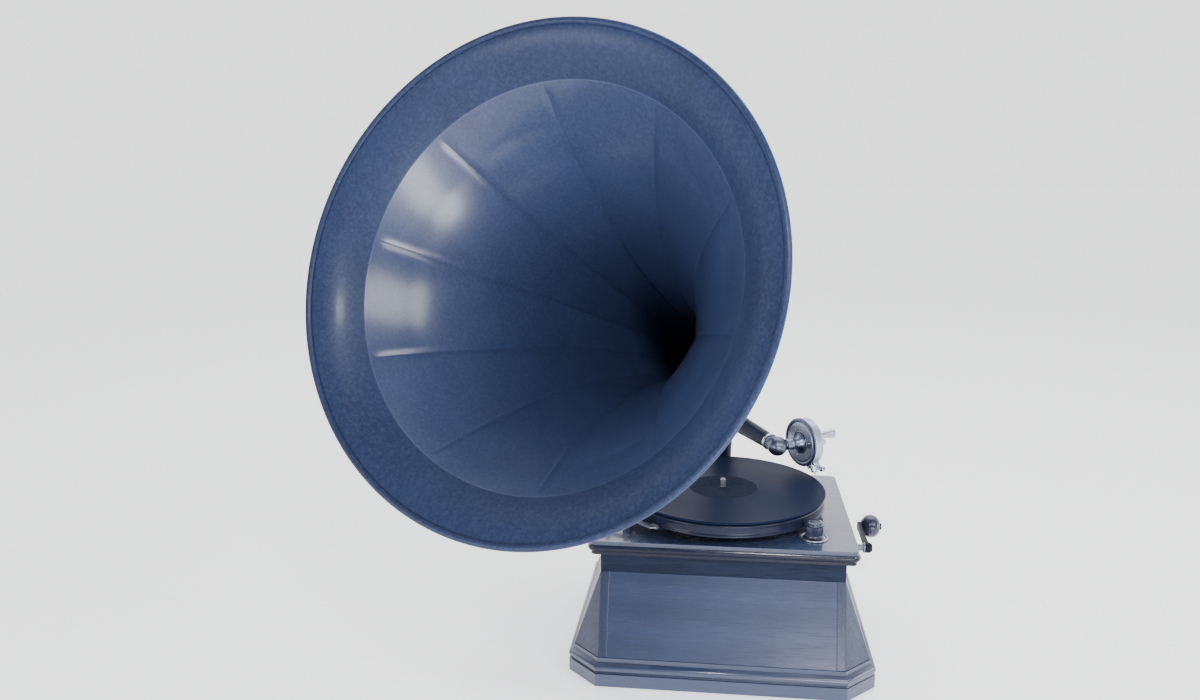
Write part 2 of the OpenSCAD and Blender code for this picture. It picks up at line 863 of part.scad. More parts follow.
module train_wheel() {
    color("#c0a45c")
        at_train(wheel_z)
            difference() {
                union() {
                    rotate([0, 0, train_turn + 180])
                        gear(wheel_teeth, fast_module, wheel_t, train_arbor_r - 1);
                    translate([0, 0, -3]) cylinder(r = 2 * train_arbor_r, h = wheel_t + 3);
                }
                translate([0, 0, -4]) cylinder(r = train_arbor_r, h = wheel_t + 5);
                web_holes(2 * train_arbor_r, fast_module * wheel_teeth / 2 - 3, wheel_t);
            }
}

module spring_barrel() {
    color("#b08f4a")
        at_barrel(barrel_z)
            difference() {
                union() {
                    rotate([0, 0, barrel_turn])
                        gear(barrel_teeth, slow_module, gear_t, barrel_arbor_r - 1);
                    cylinder(r = barrel_r, h = barrel_h);
                }
                translate([0, 0, -1]) cylinder(r = barrel_arbor_r + run_gap, h = barrel_h);
                translate([0, 0, barrel_wall]) cylinder(r = barrel_r - barrel_wall, h = barrel_h);
            }
}

module barrel_cap() {
    color("#b08f4a") at_barrel(barrel_z + barrel_h) tube(barrel_r, barrel_arbor_r + run_gap, 2);
}

module barrel_arbor() {
    color("#b5bac4")
        at_barrel() {
            translate([0, 0, bottom_plate_z - 1])
                cylinder(r = barrel_arbor_r, h = top_plate_z + plate_t - bottom_plate_z);
            translate([0, 0, barrel_z + barrel_wall + 0.5])
                cylinder(r = 9, h = barrel_h - barrel_wall - 1);
        }
}

// The mainspring is a spiral strip between the arbor's hub and the barrel's wall
spring_strip = 0.9;
spring_in = 10;
spring_out = barrel_r - barrel_wall - 2;
spring_steps = 20 * spring_turns;
function spiral(k, off) =
    let (r = spring_in + (spring_out - spring_in) * k / spring_steps + off)
    let (a = 18 * k)
    [r * cos(a), r * sin(a)];

module mainspring() {
    color("#59606e")
        at_barrel(barrel_z + barrel_wall + 1)
            linear_extrude(height = barrel_h - barrel_wall - 2)
                polygon(concat([for (k = [0 : spring_steps]) spiral(k, 0)],
                    [for (k = [spring_steps : -1 : 0]) spiral(k, spring_strip)]));
}

// Face teeth are straight rack teeth laid on the crown's rim, one of them under the pinion
module crown_tooth() {
    mid = winding_module * PI / 4 - backlash;
    low = mid + tan(20) * crown_root;
    high = mid - tan(20) * crown_tip;
    translate([crown_pitch_r - crown_width / 2, 0, crown_top])
        rotate([90, 0, 90])
            linear_extrude(height = crown_width)
                polygon([[-low, -0.01], [low, -0.01], [high, crown_root + crown_tip], [-high,
                    crown_root + crown_tip]]);
}

module crown_wheel() {
    crown_t = 4;
    color("#c0a45c")
        at_barrel() {
            difference() {
                union() {
                    translate([0, 0, crown_top - crown_t])
                        cylinder(r = crown_pitch_r + crown_width / 2 + 0.5, h = crown_t);
                    translate([0, 0, crown_top - 1]) cylinder(r = 10, h = 5);
                }
                translate([0, 0, crown_top - crown_t - 1]) cylinder(r = barrel_arbor_r, h = crown_t + 6);
            }
            for (i = [0 : crown_teeth - 1]) rotate([0, 0, 360 * i / crown_teeth]) crown_tooth();
        }
}

module at_crank(x) {
    translate([x, crank_back, crank_z]) rotate([0, 90, 0]) children();
}

module winding_shaft() {
    color("#9aa0ae") {
        at_crank(winding_x - 12) cylinder(r = crank_r, h = crank_out - 2 - winding_x + 12);
        at_crank(crank_out - 2) cylinder(r = crank_r + 2.5, h = 1.9);
    }
}

// A gap of the pinion faces the crown wheel
module winding_pinion() {
    color("#8d93a0")
        at_crank(winding_x - 2.5) rotate([0, 0, 180 / winding_teeth])
            gear(winding_teeth, winding_module, 5, crank_r);
}

ratchet_teeth = 20;
ratchet_r = 11;
ratchet_x = winding_x + 3.2;

module ratchet_wheel() {
    color("#8d93a0")
        at_crank(ratchet_x)
            linear_extrude(height = 3)
                difference() {
                    polygon([for (i = [0 : ratchet_teeth - 1]) for (k = [0, 1])
                        (k == 0 ? ratchet_r : ratchet_r - 2) * [cos(360 * (i + k * 0.1) / ratchet_teeth),
                            sin(360 * (i + k * 0.1) / ratchet_teeth)]]);
                    circle(r = crank_r);
                }
}

// The click hangs from its own pin on the winding bracket, just clear of the ratchet
click_pivot = [-10, 17];
module click() {
    tip = [-1.5, ratchet_r + rest_gap + 0.2];
    color("#8d93a0")
        at_crank(ratchet_x) {
            linear_extrude(height = 3)
                difference() {
                    union() {
                        translate(click_pivot) circle(r = 3);
                        polygon([click_pivot + [0, 3], click_pivot + [-0.5, -3], tip + [-1.2, 0.3],
                            tip + [0.8, 1.6]]);
                    }
                    translate(click_pivot) circle(r = 1.5 + run_gap);
                }
        }
}

// The crank's arm points back in the rest pose
crank_t = 4.5;
crank_hub_r = 6.5;
crank_pin_r = 3;
module crank_arm() {
    color("#8d93a0")
        at_crank(crank_out) {
            cylinder(r = crank_hub_r, h = crank_t + 4);
            linear_extrude(height = crank_t) {
                polygon([[-5.5, 0], [5.5, 0], [4, crank_throw], [-4, crank_throw]]);
                translate([0, crank_throw]) circle(r = 5.5);
            }
            translate([0, crank_throw, 0]) {
                cylinder(r = crank_pin_r, h = crank_t + knob_len + 1.5);
                translate([0, 0, crank_t + knob_len + 0.8]) cylinder(r1 = 4.5, r2 = 3.5, h = 1.2);
            }
        }
}

// The knob is turned: a short collar at the arm and a full round head
module crank_knob() {
    head_r = knob_len / 2;
    color("#14151c")
        at_crank(crank_out + crank_t + rest_gap)
            translate([0, crank_throw, 0])
                rotate_extrude()
                    difference() {
                        union() {
                            translate([knob_r - head_r, head_r]) circle(r = head_r);
                            square([knob_r * 0.5, head_r]);
                        }
                        translate([-2 * knob_r, -1])
                            square([2 * knob_r + crank_pin_r + run_gap, knob_len + 2]);
                    }
}

module at_governor(x) {
    translate([x, governor_y, worm_z]) rotate([0, 90, 0]) children();
}

// Section of the worm: three thread crests, each with straight flanks along the axis
worm_half = slow_module * PI / 4 - 0.2;
worm_ded = 1.1;
worm_add = 0.8;
function worm_turn(half) = half * 360 / worm_lead;
worm_points = [for (i = [0 : worm_starts - 1]) let (mid = 270 + 360 * i / worm_starts)
    for (p = [[-worm_turn(worm_half + tan(20) * worm_ded), -worm_ded], [-worm_turn(worm_half), 0],
        [-worm_turn(worm_half - tan(20) * worm_add), worm_add],
            [worm_turn(worm_half - tan(20) * worm_add), worm_add],
        [worm_turn(worm_half), 0], [worm_turn(worm_half + tan(20) * worm_ded), -worm_ded]])
        (worm_r + p[1] * slow_module) * [cos(mid + p[0]), sin(mid + p[0])]];

module governor_shaft() {
    twist = 360 * worm_len / worm_lead;
    color("#b5bac4") {
        at_governor(governor_disc_x - 17)
            cylinder(r = governor_r, h = worm_len / 2 + 7 - governor_disc_x + 17);
        at_governor(-worm_len / 2)
            rotate([0, 0, -twist / 2])
                linear_extrude(height = worm_len, twist = -twist, slices = 36, segments = 0,
                    convexity = 6) polygon(worm_points);
        at_governor(governor_hub_x - 3) cylinder(r = 6, h = 6);
    }
}

spring_bow = 3.5;

// Point of a bowed spring, which stands off the shaft's hubs and is widest at its middle
function bow_point(base, arc_r, turn) =
    [base + seat_gap + spring_bow - arc_r + arc_r * cos(turn), arc_r * sin(turn)];

module governor_springs() {
    half = (governor_hub_x - governor_disc_x) / 2;
    arc_r = (half ^ 2 + spring_bow ^ 2) / (2 * spring_bow);
    turn = asin(half / arc_r);
    color("#c8ccd4")
        for (i = [0 : 2])
            at_governor(governor_mid_x)
                rotate([0, 0, 120 * i + 30])
                    rotate([90, 0, 0])
                        linear_extrude(height = 5, center = true)
                            polygon(concat(
                                [for (k = [-6 : 6]) bow_point(6, arc_r, turn * k / 6)],
                                [for (k = [6 : -1 : -6]) bow_point(6.5, arc_r, turn * k / 6)]));
}

module governor_weights() {
    color("#c0a45c")
        for (i = [0 : 2])
            at_governor(governor_mid_x)
                rotate([0, 0, 120 * i + 30])
                    translate([6.5 + spring_bow + 2 * seat_gap, 0, 0])
                        rotate([0, 90, 0]) cylinder(r = 5.5, h = 5);
}

module governor_disc() {
    color("#c0a45c")
        difference() {
            union() {
                at_governor(governor_disc_x - 3) cylinder(r = 6, h = 6);
                at_governor(governor_disc_x - 5) cylinder(r = 16, h = 2.01);
            }
            at_governor(governor_disc_x - 6) cylinder(r = governor_r + run_gap, h = 10);
        }
}

// The lever reaches from the regulator's cam to the face of the governor's disc
module governor_lever() {
    px = lever_pivot[0];
    py = lever_pivot[1];
    pad_x = governor_disc_x - 5 - pad_gap;
    pad_y = governor_y - 14;
    end_x = regulator_x + cam_out + 5;
    color("#8d93a0")
        difference() {
            union() {
                linear_extrude_at(lever_z, lever_t)
                    polygon([[pad_x - 4, pad_y + 7], [pad_x + 1, pad_y + 7], [px + 6, py + 4], [end_x,
                        regulator_y + 5],
                        [end_x, regulator_y - 5], [px + 4, py - 6], [px - 4, py - 6], [px - 6, py]]);
                block([pad_x - 3, pad_y, worm_z - 3], [pad_x, pad_y + 7, lever_z + lever_t]);
            }
            translate([px, py, lever_z - 1]) cylinder(r = 2 + run_gap, h = lever_t + 2);
            block([regulator_x + cam_out - 3, regulator_y - cam_r - cam_gap, lever_z - 1],
                [end_x + 1, regulator_y + cam_r + cam_gap, lever_z + lever_t + 1]);
        }
}

module linear_extrude_at(z, h) {
    translate([0, 0, z]) linear_extrude(height = h) children();
}

module regulator_plate() {
    color("#b5bac4")
        translate([regulator_x, regulator_y, case_h])
            rotate_extrude() {
                translate([regulator_r + 0.5, 0]) square([regulator_plate_r - regulator_r - 0.5, 1]);
                translate([regulator_plate_r - 2, 1]) circle(r = 1);
            }
}

module regulator_knob() {
    cam_z = lever_z + lever_t + 0.5;
    color("#14151c")
        translate([regulator_x, regulator_y, 0]) {
            translate([0, 0, case_h + 2 + rest_gap])
                rotate_extrude() {
                    square([regulator_knob_r, regulator_knob_h - 2]);
                    square([regulator_knob_r - 2, regulator_knob_h]);
                    translate([regulator_knob_r - 2, regulator_knob_h - 2]) circle(r = 2);
                }
            translate([0, 0, cam_z]) cylinder(r = regulator_r, h = case_h - cam_z + 4);
            translate([0, 0, cam_z]) cylinder(r = 5, h = 2);
            translate([cam_out, 0, lever_z - 1]) cylinder(r = cam_r, h = cam_z - lever_z + 1.5);
        }
}

module brake_post() {
    color("#9aa0ae")
        translate([brake_x, brake_y, 0]) {
            translate([0, 0, lid_z + 5]) cylinder(r = 2.98, h = brake_z + 4 - lid_z - 5);
            translate([0, 0, case_h + 0.02]) cylinder(r = 7, h = brake_z - case_h - rest_gap - 0.02);
            translate([0, 0, brake_z + 2.3]) cylinder(r1 = 5, r2 = 3.5, h = 2.5);
        }
}

// The lever stands with its pad just off the platter's rim
module brake_lever() {
    pad = (platter_r + brake_gap) * [cos(brake_pad_turn), sin(brake_pad_turn)] + [0, spindle_y];
    reach = pad - [brake_x, brake_y];
    color("#9aa0ae")
        translate([brake_x, brake_y, brake_z])
            difference() {
                union() {
                    linear_extrude(height = 2)
                        union() {
                            circle(r = 6);
                            polygon([[-5, -4], [5, -6], reach + [-7, -10], reach + [2, -8], reach + [-1,
                                -4], [3, 5]]);
                            polygon([[3, 5], [-6, -3], [-27, 8], [-24, 13]]);
                        }
                    translate([-24, 10, 0]) cylinder(r = 3.5, h = 8);
                    translate(reach) rotate([0, 0, brake_pad_turn])
                        translate([0, -5, -2]) cube([5, 10, 4]);
                }
                translate([0, 0, -1]) cylinder(r = 3 + run_gap, h = 4);
            }
}

// Tone arm

module at_arm() {
    translate([0, arm_back, 0]) rotate([0, 0, arm_rest - 90]) children();
}

module along_arm(x) {
    translate([0, 0, arm_z]) rotate([0, 90 + arm_tilt, 0]) translate([0, 0, x]) children();
}

arm_end = arm_len / cos(arm_tilt) - collar_len - 8;

module tone_arm() {
    color("#14171f")
        at_arm()
            difference() {
                union() {
                    translate([0, 0, boss_z]) cylinder(r = boss_r, h = boss_top - boss_z);
                    translate([0, 0, boss_top - 3]) cylinder(r = boss_r + 1.5, h = 3);
                    along_arm(0) cylinder(r1 = arm_root_r, r2 = arm_end_r, h = arm_end);
                    along_arm(arm_end - 5) cylinder(r = arm_end_r + 1, h = 5);
                }
                translate([0, 0, boss_z + boss_floor]) cylinder(r = boss_r - boss_wall, h = boss_top);
                translate([0, 0, boss_z - 1]) cylinder(r = pivot_r + run_gap, h = boss_floor - 0.5);
                along_arm(8) cylinder(r1 = arm_root_r - arm_wall, r2 = arm_end_r - arm_wall,
                    h = arm_end - 8 + 0.01);
            }
}

// Frame with +Z along the sound box's axis, away from the arm, and +X down
module at_box(z = 0) {
    at_arm()
        translate([arm_len, 0, ball_z])
            rotate([0, 0, 90 + box_yaw])
                rotate([0, 90, 0])
                    translate([0, 0, z]) children();
}

module arm_ball() {
    color("#9aa0ae")
        difference() {
            union() {
                at_box() sphere(r = ball_r);
                at_arm() along_arm(arm_end + seat_gap) cylinder(r = arm_end_r - 0.5, h = collar_len);
                at_arm() along_arm(arm_end - 6) cylinder(r = arm_end_r - arm_wall - 0.1, h = 10);
            }
            at_box(1) cylinder(r = trunnion_r + run_gap, h = ball_r);
        }
}

// Sound box

module along_needle(z = 0) {
    at_box(z) rotate([0, 0, -needle_rake]) children();
}

module box_housing() {
    color("#aab0bd")
        difference() {
            union() {
                at_box(2) cylinder(r = trunnion_r, h = ball_r);
                at_box(ball_r + rest_gap) cylinder(r = neck_r, h = box_z0 - ball_r - rest_gap);
                at_box(box_z0 - 8) cylinder(r1 = neck_r, r2 = neck_r + 5, h = 8);
                at_box(box_z0) cylinder(r = box_r, h = box_t);
                at_box(box_z0 + 0.5) rotate_extrude() translate([box_r - 1, 1]) circle(r = 1.5);
                along_needle()
                    for (side = [-1, 1])
                        translate([box_r - 2, side * 6.5 - 1.5, chuck_z - 3]) cube([6, 3, 6]);
            }
            at_box(box_z0 + box_back) cylinder(r = box_r - box_wall, h = box_t);
            at_box(0) cylinder(r = 3.5, h = box_z0 + box_back + 1);
        }
}

module box_gaskets() {
    color("#1a1a1c")
        for (z = [diaphragm_z - gasket_t, diaphragm_z + diaphragm_t])
            at_box(z) rotate_extrude()
                translate([box_r - box_wall - 3, gasket_t / 2]) circle(r = gasket_t / 2 - 0.05);
}

module diaphragm() {
    color("#d8d2bf") at_box(diaphragm_z) cylinder(r = box_r - box_wall - 0.3, h = diaphragm_t);
}

// The front ring has a bridge across it, which carries the small lifting knob
module box_front() {
    bridge_z = box_z1 + 5;
    color("#aab0bd") {
        at_box(box_z1 + 0.02) tube(box_r - 0.5, box_r - ring_in, ring_t);
        at_box(box_z1) translate([-8, -box_r + 2.5, 5]) cube([6, 2 * box_r - 5, 2]);
        for (side = [-1, 1]) at_box(box_z1 + 0.1)
            translate([-8, side * (box_r - 5) - 2.5, 1]) cube([6, 5, 5]);
        at_box(bridge_z) translate([-5, 0, 0]) {
            cylinder(r1 = 10.5, r2 = 4.5, h = 12);
            translate([0, 0, 12]) cylinder(r = 4.5, h = 14);
            translate([0, 0, 26]) cylinder(r1 = 4.5, r2 = 6, h = 10);
            translate([0, 0, 36]) cylinder(r1 = 6, r2 = 4, h = 3);
        }
    }
}

module stylus_bar() {
    bar_z = box_z1 + ring_t + 0.8;
    color("#c8ccd4")
        difference() {
            union() {
                along_needle(chuck_z) translate([chuck_x, 0, 0])
                    rotate([0, 90, 0]) cylinder(r = chuck_r, h = chuck_len);
                along_needle(bar_z) linear_extrude(height = 2)
                    polygon([[-2, -1.5], [chuck_x + 5, -3], [chuck_x + 5, 3], [-2, 1.5]]);
                along_needle(chuck_z) translate([chuck_x + 1, -3, 0]) cube([4, 6, bar_z + 1 - chuck_z]);
                along_needle(diaphragm_z + diaphragm_t + seat_gap)
                    cylinder(r = 1.4, h = bar_z - diaphragm_z);
                along_needle(chuck_z) translate([chuck_x + 1.5, 0, 0])
                    rotate([90, 0, 0]) cylinder(r = 0.8, h = 9.5, center = true);
            }
            along_needle(chuck_z) translate([chuck_x + 3, 0, 0])
                rotate([0, 90, 0]) cylinder(r = needle_r + 0.1, h = chuck_len);
            along_needle(chuck_z) translate([chuck_x + 7, 0, 0]) cylinder(r = 1.3, h = 10);
        }
}

module needle() {
    color("#d5d9e0")
        along_needle(chuck_z)
            translate([chuck_x + 3.2, 0, 0])
                rotate([0, 90, 0]) {
                    cylinder(r = needle_r, h = needle_reach - 3.5 - chuck_x - 3.2);
                    translate([0, 0, needle_reach - 3.5 - chuck_x - 3.2])
                        cylinder(r1 = needle_r, r2 = 0.1, h = 3.5);
                }
}

module needle_screw() {
    color("#c8ccd4")
        along_needle(chuck_z + needle_r + rest_gap)
            translate([chuck_x + 7, 0, 0]) {
                cylinder(r = 1.2, h = 12);
                translate([0, 0, 9.5]) cylinder(r = 3.5, h = 5);
            }
}

// Horn

module at_horn() {
    translate([0, arm_back, elbow_z]) rotate([0, 0, -90 - horn_turn]) children();
}

module along_horn() {
    at_horn() rotate([0, 90 - horn_rise, 0]) children();
}

// The bend is a hair thinner than the straight tubes that sleeve it at both ends
module elbow_solid(r, extra = 0) {
    lap = bend_lap + extra / 10;
    at_bracket() translate([0, 0, elbow_foot - extra])
        cylinder(r = r, h = bend_z - elbow_foot + extra + lap);
    at_horn()
        translate([elbow_bend, 0, -bend_run])
            rotate([90, 0, 0])
                rotate([0, 0, 180 - bend_angle])
                    rotate_extrude(angle = bend_angle)
                        translate([elbow_bend, 0]) circle(r = r - bend_step);
    along_horn() translate([0, 0, bend_run - lap])
        cylinder(r = r, h = spigot_end - bend_run + extra + lap);
}

// The elbow's foot stands just above a ledge in the bracket's ring
module horn_elbow() {
    color("#14171f")
        difference() {
            elbow_solid(elbow_r);
            elbow_solid(elbow_r - elbow_wall, 1);
        }
}

// The ferrule sleeves the elbow's spigot and carries the bell's throat
module horn_ferrule() {
    color("#9aa0ae")
        along_horn()
            difference() {
                union() {
                    translate([0, 0, ferrule_z0])
                        cylinder(r = throat_r - rest_gap, h = ferrule_z1 - ferrule_z0);
                    translate([0, 0, ferrule_z0]) cylinder(r = throat_r + 2, h = 3);
                    translate([0, 0, throat_z - 3.2]) cylinder(r = throat_r + 1.5, h = 3);
                }
                translate([0, 0, ferrule_z0 - 1])
                    cylinder(r = elbow_r + seat_gap, h = spigot_end - ferrule_z0 + 1.2);
                translate([0, 0, ferrule_z0 - 1]) cylinder(r = elbow_r - elbow_wall, h = ferrule_z1);
            }
}

// Radius of the gored bell, which grows by the same share with every step along the axis
function bell_radius(z) = throat_r * exp(flare * (z - throat_z));

// The gores are flattest midway along the bell and round at both ends
function flatness(k) = 0.75 * sin(180 * min(1, k * 1.15)) ^ 0.7;

// One gore of a ring: the seam's two sides, then points across the panel
function gore_ring(r, z, flat, rise) =
    let (step = 360 / gores)
    let (edge = min(step / 6, seam_w / 2 / r * 180 / PI))
    let (chord = [for (j = [0 : gore_points]) cos(step / 2) / cos(step * j / gore_points - step / 2)])
    let (shrink = [for (c = chord) 1 - flat * (1 - c)])
    [for (i = [0 : gores - 1]) let (start = gore_start + step * i) each concat(
        [for (s = [-1, 1]) (r + rise) * [cos(start + s * edge * 0.5), sin(start + s * edge * 0.5),
            0] + [0, 0, z]],
        [r * [cos(start + edge), sin(start + edge), 0] + [0, 0, z]],
        [for (j = [1 : gore_points - 1]) let (a = start + step * j / gore_points)
            r * shrink[j] * [cos(a), sin(a), 0] + [0, 0, z]],
        [r * [cos(start + step - edge), sin(start + step - edge), 0] + [0, 0, z]])];

gore_start = 8;
bell_steps = [for (i = [0 : bell_rings]) i / bell_rings];
function bell_z(k) = throat_z + (crease_z - throat_z) * (1 - (1 - k) ^ 1.25);

module horn_bell() {
    outer = [for (k = bell_steps) gore_ring(bell_radius(bell_z(k)) + sheet_t, bell_z(k), flatness(k),
        k > 0.97 ? 0 : seam_h)];
    inner = [for (i = [bell_rings : -1 : 0]) let (k = bell_steps[i]) gore_ring(bell_radius(bell_z(k)),
        bell_z(k), flatness(k), 0)];
    color("#1d2740") along_horn() band(concat(outer, inner));
}

// The brim has a lip outside the bell's edge and curves out to the rolled bead
function brim_point(k, off) =
    let (run = mouth_r - bead_r - bell_r)
    [bell_r + run * k + off * (1 - k),
        crease_z + rest_gap + (brim_depth - rest_gap - bead_r) * (1 - (1 - k) ^ 1.7) - off * k];

module horn_brim() {
    lip_r = bell_r + sheet_t + rest_gap;
    color("#25304b")
        along_horn() {
            rotate_extrude()
                polygon(concat([for (i = [0 : brim_rings]) brim_point(i / brim_rings, 0)],
                    [for (i = [brim_rings : -1 : 1]) brim_point(i / brim_rings, sheet_t)],
                    [[lip_r + sheet_t, crease_z], [lip_r + sheet_t, crease_z - 5], [lip_r, crease_z - 5],
                        [lip_r, crease_z + rest_gap]]));
            rotate_extrude() translate([mouth_r - bead_r, horn_len - bead_r]) circle(r = bead_r);
        }
}

bottom_board();
plinth();
front_board();
rear_board();
left_board();
right_board();
corner_posts();
neck_frame();
lid_board();
crank_bush();
motor_top_plate();
motor_bottom_plate();
motor_pillars();
motor_screws();
motor_washers();
winding_bracket();
horn_bracket();
bracket_screws();
horn_clamp_screw();
arm_pivot();
regulator_plate();
brake_post();
platter();
felt_mat();
record();
spindle();
worm_wheel();
train_arbor();
train_wheel();
spring_barrel();
barrel_cap();
mainspring();
barrel_arbor();
crown_wheel();
winding_shaft();
winding_pinion();
ratchet_wheel();
crank_arm();
crank_knob();
click();
governor_shaft();
governor_springs();
governor_weights();
governor_disc();
governor_lever();
regulator_knob();
brake_lever();
tone_arm();
arm_ball();
box_housing();
box_gaskets();
diaphragm();
box_front();
stylus_bar();
needle();
needle_screw();
horn_elbow();
horn_ferrule();
horn_bell();
horn_brim();
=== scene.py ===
from math import atan2, cos, degrees, hypot, log, pi, radians, sin, tan

import bpy
import numpy as np
from mathutils import Matrix, Vector


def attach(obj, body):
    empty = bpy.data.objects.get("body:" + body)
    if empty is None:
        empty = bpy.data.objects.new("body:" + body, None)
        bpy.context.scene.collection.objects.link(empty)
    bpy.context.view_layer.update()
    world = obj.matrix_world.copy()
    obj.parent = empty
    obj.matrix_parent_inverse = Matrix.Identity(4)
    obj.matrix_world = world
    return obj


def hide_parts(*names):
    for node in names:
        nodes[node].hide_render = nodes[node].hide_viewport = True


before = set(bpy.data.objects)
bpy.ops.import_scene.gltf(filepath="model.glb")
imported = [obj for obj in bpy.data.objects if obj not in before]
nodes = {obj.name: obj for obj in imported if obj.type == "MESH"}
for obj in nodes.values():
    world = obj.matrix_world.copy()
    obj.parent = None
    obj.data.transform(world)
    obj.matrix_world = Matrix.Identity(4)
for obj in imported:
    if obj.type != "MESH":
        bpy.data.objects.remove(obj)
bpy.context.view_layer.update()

mm = 0.001
print("frame loaded:", len(nodes), "nodes")


def moved(x=0, y=0, z=0):  # a shift as a 4x4
    return Matrix.Translation((x, y, z))


def turnedBy(angle, axis):  # a turn about one axis, in degrees, as a 4x4
    return Matrix.Rotation(radians(angle), 4, axis)


def inScene(name, data):
    obj = bpy.data.objects.new(name, data)
    bpy.context.scene.collection.objects.link(obj)
    return obj


# camera, light and floor, in metres
view = {
    "place": (-0.0107, -1.2003, 0.6085), "yaw": -6.83, "pitch": 11.62, "roll": -0.11,
    "lens": 30.0, "sensor": 36, "near": 0.02, "far": 50,
}


def aimedAxes(yaw, pitch, roll):  # right, up and backward axes of a camera from its three turns
    y, p, r = radians(yaw), radians(pitch), radians(roll)
    ahead = Vector((sin(y) * cos(p), cos(y) * cos(p), -sin(p)))
    right = Vector((cos(y), -sin(y), 0))
    up = right.cross(ahead)
    return right * cos(r) + up * sin(r), up * cos(r) - right * sin(r), -ahead


def addCamera():
    data = bpy.data.cameras.new("camera")
    data.lens, data.sensor_width = view["lens"], view["sensor"]
    data.clip_start, data.clip_end = view["near"], view["far"]
    camera = inScene("camera", data)
    axes = Matrix(aimedAxes(view["yaw"], view["pitch"], view["roll"]))
    camera.matrix_world = moved(*view["place"]) @ axes.transposed().to_4x4()
    bpy.context.scene.camera = camera


lamps = {  # each soft lamp's place and target, its width and height, watts and colour
    "window": ((1.55, -1.25, 1.35), (-0.3, -0.28, 0.44), (0.9, 0.7), 22, (1.0, 0.99, 0.97)),
    "fill": ((-1.9, -2.0, 0.45), (0.1, -0.2, 0.42), (0.9, 0.9), 24, (0.95, 0.97, 1.0)),
    "top": ((0.3, 0.9, 2.3), (0.05, 0, 0.1), (1.8, 1.4), 24, (1, 1, 1)),
    "side": ((1.75, 0.15, 0.2), (0.15, -0.05, 0.1), (0.6, 0.5), 7, (1, 1, 1)),
    "front": ((0.16, -1.35, 1.25), (0.05, -0.1, 0.1), (0.2, 0.12), 12, (1, 1, 1)),
    "card": ((0.3, -1.05, 0.06), (-0.3, -0.25, 0.56), (0.42, 0.34), 8, (1, 1, 1)),
}
room = {
    "colour": (0.95, 0.96, 0.98, 1), "wall": 2.1, "front": 0.36, "seen": 1.95,
    "dimEnd": -0.15, "brightEnd": 0.45, "lowLamps": ("card", "side", "fill"),
}
floor = {
    "half": 14.0, "z": -0.0004, "colour": (0.88, 0.89, 0.91, 1), "rough": 0.8, "shine": 0.1, "glow": 1.08,
}


def addFloor():  # one flat square under the plinth
    h, z = floor["half"], floor["z"]
    mesh = bpy.data.meshes.new("floor")
    mesh.from_pydata([(-h, -h, z), (h, -h, z), (h, h, z), (-h, h, z)], [], [(0, 1, 2, 3)])
    obj = inScene("floor", mesh)
    mat = bpy.data.materials.new("floorPaper")
    mat.use_nodes = True
    paper = {"Base Color": "colour", "Roughness": "rough", "Specular IOR Level": "shine",
             "Emission Color": "colour", "Emission Strength": "glow"}
    for key, value in paper.items():
        mat.node_tree.nodes["Principled BSDF"].inputs[key].default_value = floor[value]
    mesh.materials.append(mat)


def lampSkips():  # low lamps light the machine and skip the floor, which would show their bright pools
    skips = bpy.data.collections.new("lampSkips")
    skips.objects.link(bpy.data.objects["floor"])
    skips.collection_objects[0].light_linking.link_state = "EXCLUDE"
    return skips


def addLights():  # each lamp looks from its place along the line to its target
    skips = lampSkips()
    for name, (place, target, size, watts, colour) in lamps.items():
        data = bpy.data.lights.new(name, "AREA")
        data.shape = "RECTANGLE"
        data.size, data.size_y = size
        data.energy = watts
        data.color = colour
        light = inScene(name, data)
        aim = Vector(target) - Vector(place)
        light.matrix_world = moved(*place) @ aim.to_track_quat("-Z", "Y").to_matrix().to_4x4()
        if name in room["lowLamps"]:
            light.light_linking.receiver_collection = skips


def addRoom():
    # light grows evenly from the dim room in front to the bright wall behind; seen directly, it is all bright
    world = bpy.data.worlds.new("room")
    bpy.context.scene.world = world
    world.use_nodes = True
    tree = world.node_tree
    back = tree.nodes["Background"]
    back.inputs["Color"].default_value = room["colour"]
    kinds = ("TexCoord", "SeparateXYZ", "MapRange", "LightPath", "Mix")
    where, split, wall, path, strength = (tree.nodes.new("ShaderNode" + kind) for kind in kinds)
    ends = {"From Min": "dimEnd", "From Max": "brightEnd", "To Min": "front", "To Max": "wall"}
    for key, end in ends.items():
        wall.inputs[key].default_value = room[end]
    strength.inputs[3].default_value = room["seen"]
    joins = [(where, "Generated", split, 0), (split, "Y", wall, "Value"), (wall, "Result", strength, 2),
             (path, "Is Camera Ray", strength, 0), (strength, 0, back, "Strength")]
    for a, output, b, into in joins:
        tree.links.new(a.outputs[output], b.inputs[into])


addCamera()
addFloor()
addLights()
addRoom()
print("camera, lights and floor are in place")


